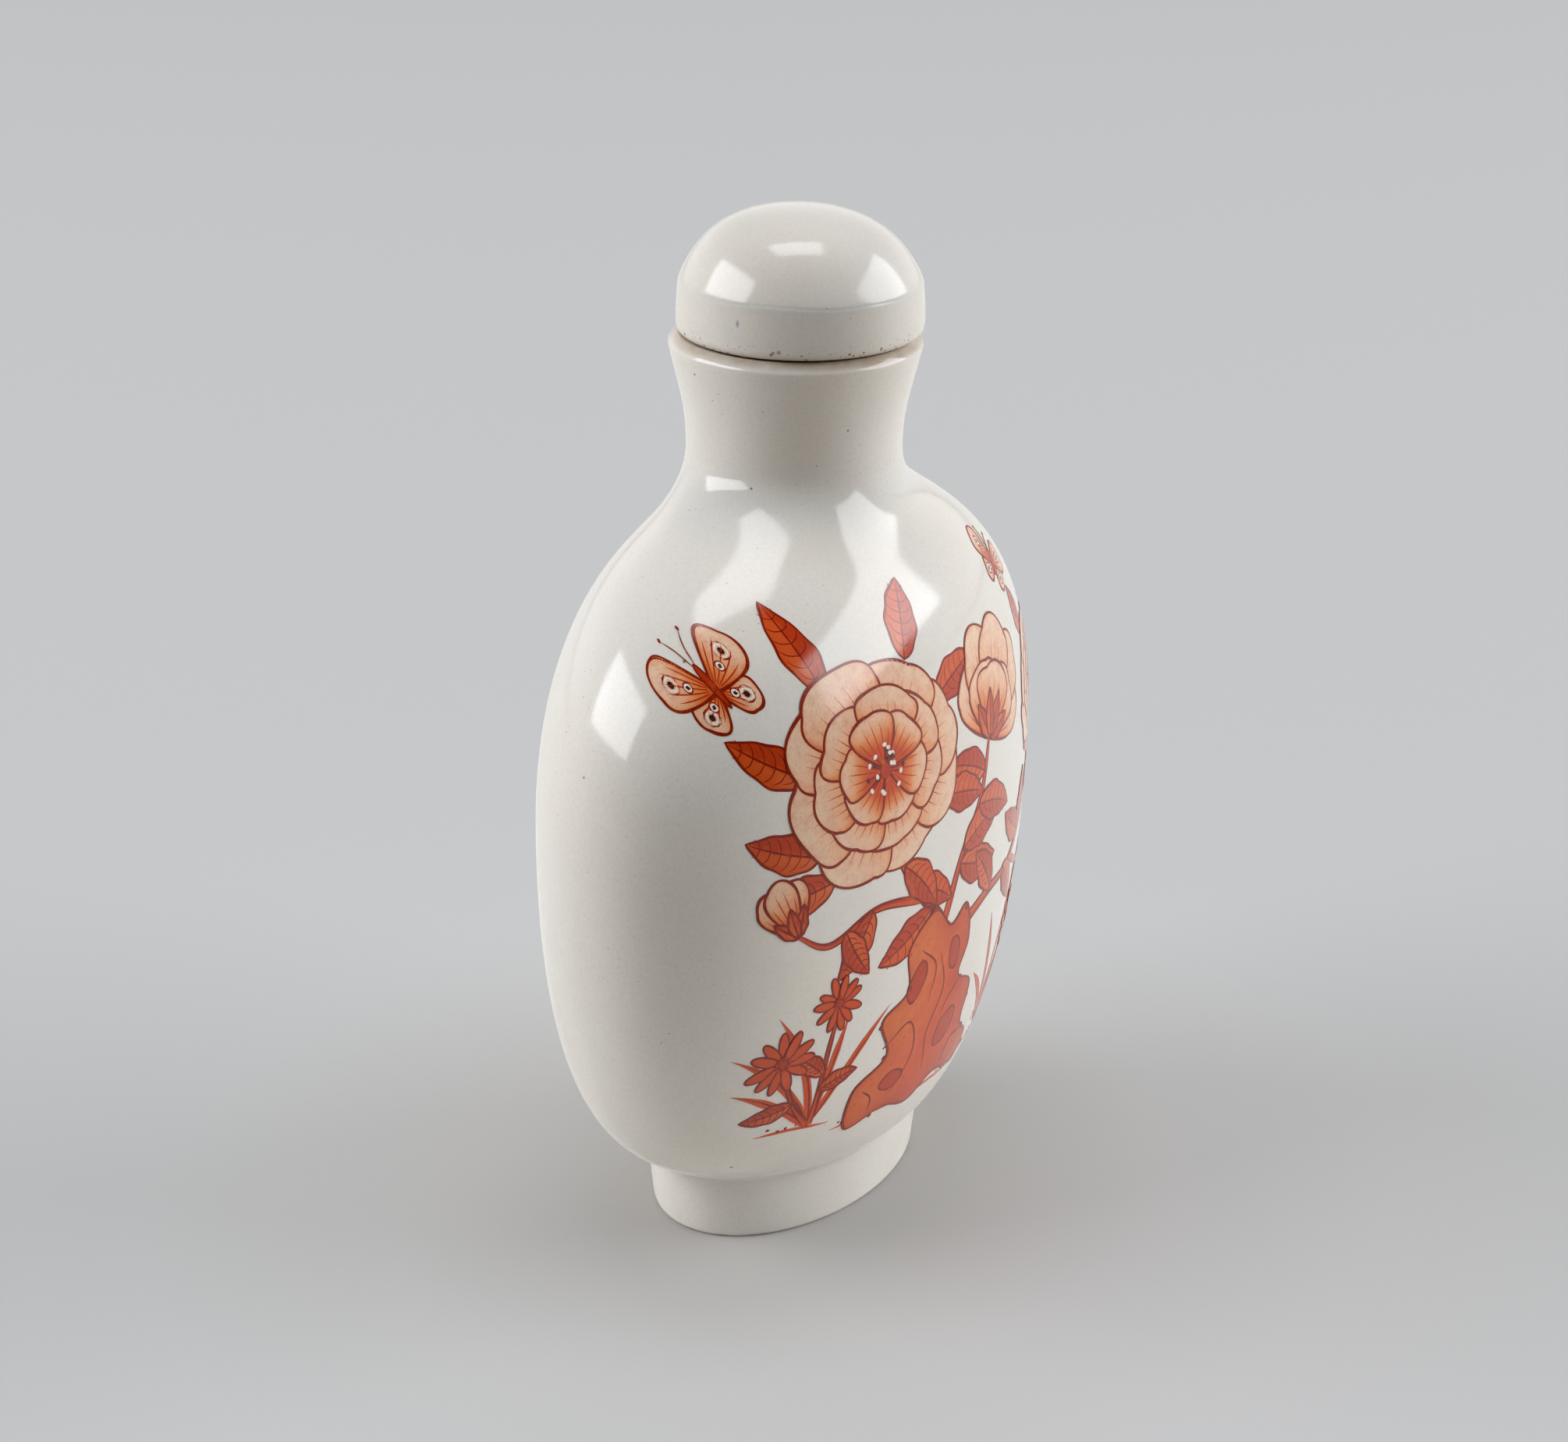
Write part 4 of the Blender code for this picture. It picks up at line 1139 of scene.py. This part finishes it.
def make_enamel():
    """Peonies and asters about a rock, with butterflies: the usual flowers and insects."""
    dice = np.random.default_rng(SEED)
    enamel = Enamel()
    paint_ground(enamel, GROUND, dice)
    paint_grass(enamel, (-15.6, 11.0), LEFT_BLADES)
    paint_grass(enamel, (6.6, 10.6), RIGHT_BLADES)
    for branch in BRANCHES:
        paint_branch(enamel, *branch)
    leaves = STEM_LEAVES + tuple((*leaf, 5.8, 2.7, 0.12) for leaf in BIG_BLOOM_LEAVES)
    leaves += tuple((*leaf, 4.4, 2.0, 0.12) for leaf in SMALL_BLOOM_LEAVES)
    for leaf in leaves:
        paint_leaf(enamel, leaf[:2], *leaf[2:])
    for paint, at, size, turn in (
        (paint_bud, (-19.2, 26.7), 4.6, 26),
        (paint_bud, (17.0, 22.2), 4.4, -52),
        (paint_side_bloom, (1.9, 34.6), 8.0, -22),
        (paint_peony, (-11.6, 36.4), 8.2, 12),
        (paint_peony, (15.6, 34.6), 5.4, -20),
        (paint_rock, (-4.6, 17.0), 7.6, 0),
        (paint_aster, (-19.2, 17.2), 2.6, 10),
        (paint_aster, (-15.2, 20.8), 2.2, 25),
        (paint_aster, (11.8, 17.0), 2.3, 40),
        (paint_butterfly, (-22.4, 43.4), 4.4, 24),
        (paint_butterfly, (9.4, 44.6), 3.4, -36),
    ):
        paint(enamel, at, size, turn, dice)
    enamel.piece("enamel_flowers", enamel_finish())


# Studio
LAMP_DISTANCE = 1500.0
LAMP_COLOUR = (0.97, 0.982, 1.0)
SOFTBOXES = (
    # azimuth, elevation, width, height and roll in degrees, then radiance
    ("right_softbox", 30.5, 27.2, 48, 32.5, 3, 5.3),
    ("left_softbox", -146, 31.8, 46, 25, 10, 6.8),
    ("top_softbox", 126, 84, 30, 18, 2, 5.2),
)
ROOM_COLOUR = (1.0, 0.985, 0.97)
ROOM_IN_FRONT, ROOM_BEHIND, ROOM_OVERHEAD = 0.01, 0.9, 0.12
WALL_SIDES, WALL_TOPS = (-0.7, 0.5), (0.1, 0.65)
FLOOR_HALF_METRES = 4.0
FRONT_EDGE, FOOT_SHADE_START, FOOT_SHADE_END = (15.0, 75.0), (6.0, 12.0), (17.0, 28.0)
FOOT_SHADE = 0.35
BOUNCE, BOUNCE_IN_FRONT = tint(226, 225, 221), tint(160, 153, 144)
PAPER, PAPER_SHADOW, SHADOW_REACH = tint(148, 149, 150), tint(149, 145, 141), 32.0
PAPER_GLOW, PAPER_GLOW_IN_SHADOW = 0.15, 0.075


def towards(azimuth, elevation):
    """The unit direction from the object to a viewer at that azimuth and elevation."""
    a, e = radians(azimuth), radians(elevation)
    return Vector((sin(a) * cos(e), -cos(a) * cos(e), sin(e)))


def add_softbox(name, azimuth, elevation, wide, tall, roll, radiance):
    """A lamp that covers the given angles seen from the bottle."""
    sizes = [2 * LAMP_DISTANCE * MM * tan(radians(angle / 2)) for angle in (wide, tall)]
    lamp = bpy.data.lights.new(name, "AREA")
    lamp.shape = "RECTANGLE"
    lamp.size, lamp.size_y = sizes
    lamp.energy = radiance * pi * sizes[0] * sizes[1]
    lamp.color = LAMP_COLOUR
    box = new_object(name, lamp)
    aim = towards(azimuth, elevation)
    box.location = (aim * LAMP_DISTANCE + Vector((0, 0, VIEW_TARGET_HEIGHT))) * MM
    spin = Quaternion((0, 0, 1), radians(roll))
    box.rotation_euler = (aim.to_track_quat("Z", "Y") @ spin).to_euler()
    box.visible_camera = False


def add_world():
    """A dark room whose lower walls are softly lit beside and behind the bottle."""
    world = bpy.data.worlds.new("studio")
    room = Nodes(world)
    way = room.add("ShaderNodeTexCoord").outputs["Generated"]
    behind = room.vector("DOT_PRODUCT", way, -towards(VIEW_AZIMUTH, 0.0))
    climb = room.add("ShaderNodeSeparateXYZ", Vector=way).outputs["Z"]
    walls = room.ramp(behind, *WALL_SIDES, ROOM_IN_FRONT, ROOM_BEHIND)
    background = room.tree.nodes["Background"]
    glow = room.times(walls, room.ramp(climb, *WALL_TOPS, 1.0, ROOM_OVERHEAD))
    room.put(background.inputs["Strength"], glow)
    room.put(background.inputs["Color"], ROOM_COLOUR)
    bpy.context.scene.world = world


def add_floor():
    """Pale paper, which throws less light back from the camera's side of the bottle."""
    x = FLOOR_HALF_METRES
    mesh = bpy.data.meshes.new("studio_floor")
    mesh.from_pydata([(-x, -x, 0), (x, -x, 0), (x, x, 0), (-x, x, 0)], [], [(0, 1, 2, 3)])
    floor = new_object("studio_floor", mesh)
    shades = Shades("studio_floor", BOUNCE)
    # The light the paper throws back is painted darker on the camera's side, with a painted shadow
    # just before the foot.
    forward = shades.vector("DOT_PRODUCT", shades.place, towards(VIEW_AZIMUTH, 0.0))
    by_foot = shades.ramp(forward, *FOOT_SHADE_END, FOOT_SHADE, 0.0)
    by_foot = shades.times(shades.ramp(forward, *FOOT_SHADE_START), by_foot)
    in_front = shades.maths("MAXIMUM", shades.ramp(forward, *FRONT_EDGE), by_foot)
    shades.coat(in_front, BOUNCE_IN_FRONT)
    # For the camera the paper glows, dimmer and warmer where ambient occlusion closes in: a painted
    # contact shadow.
    sky = shades.add("ShaderNodeAmbientOcclusion", {"samples": 4}, Distance=SHADOW_REACH * MM)
    sky = sky.outputs["AO"]
    paper = shades.blend(shades.ramp(sky, 0.5, 0.95), PAPER_SHADOW, PAPER)
    seen = shades.add("ShaderNodeLightPath").outputs["Is Camera Ray"]
    glow = shades.maths("MULTIPLY_ADD", sky, PAPER_GLOW, PAPER_GLOW_IN_SHADOW)
    look = {"Emission_Color": (1.0, 1.0, 1.0), "Emission_Strength": shades.times(seen, glow)}
    shades.coat(seen, paper)
    mesh.materials.append(shades.finish(0.9, **look))


def add_camera():
    azimuth, roll = radians(VIEW_AZIMUTH), radians(VIEW_ROLL)
    back = towards(VIEW_AZIMUTH, VIEW_ELEVATION)
    right = Vector((cos(azimuth), sin(azimuth), 0.0))
    up = back.cross(right)
    right, up = cos(roll) * right + sin(roll) * up, cos(roll) * up - sin(roll) * right
    target = Vector((0, 0, VIEW_TARGET_HEIGHT)) + VIEW_SLIDE * right + VIEW_RISE * up
    lens = bpy.data.cameras.new("camera")
    lens.lens, lens.sensor_width = LENS, SENSOR_WIDTH
    lens.clip_start, lens.clip_end = CLIP_START_METRES, CLIP_END_METRES
    camera = new_object("camera", lens)
    turn = Matrix((right, up, back)).transposed().to_4x4()
    camera.matrix_world = Matrix.Translation((target + VIEW_DISTANCE * back) * MM) @ turn
    bpy.context.scene.camera = camera


def add_studio():
    bpy.context.scene.view_settings.view_transform = "Standard"
    add_world()
    add_floor()
    add_camera()
    for softbox in SOFTBOXES:
        add_softbox(*softbox)


add_studio()
make_body()
make_enamel()
make_cap()
make_cork()
make_spoon()
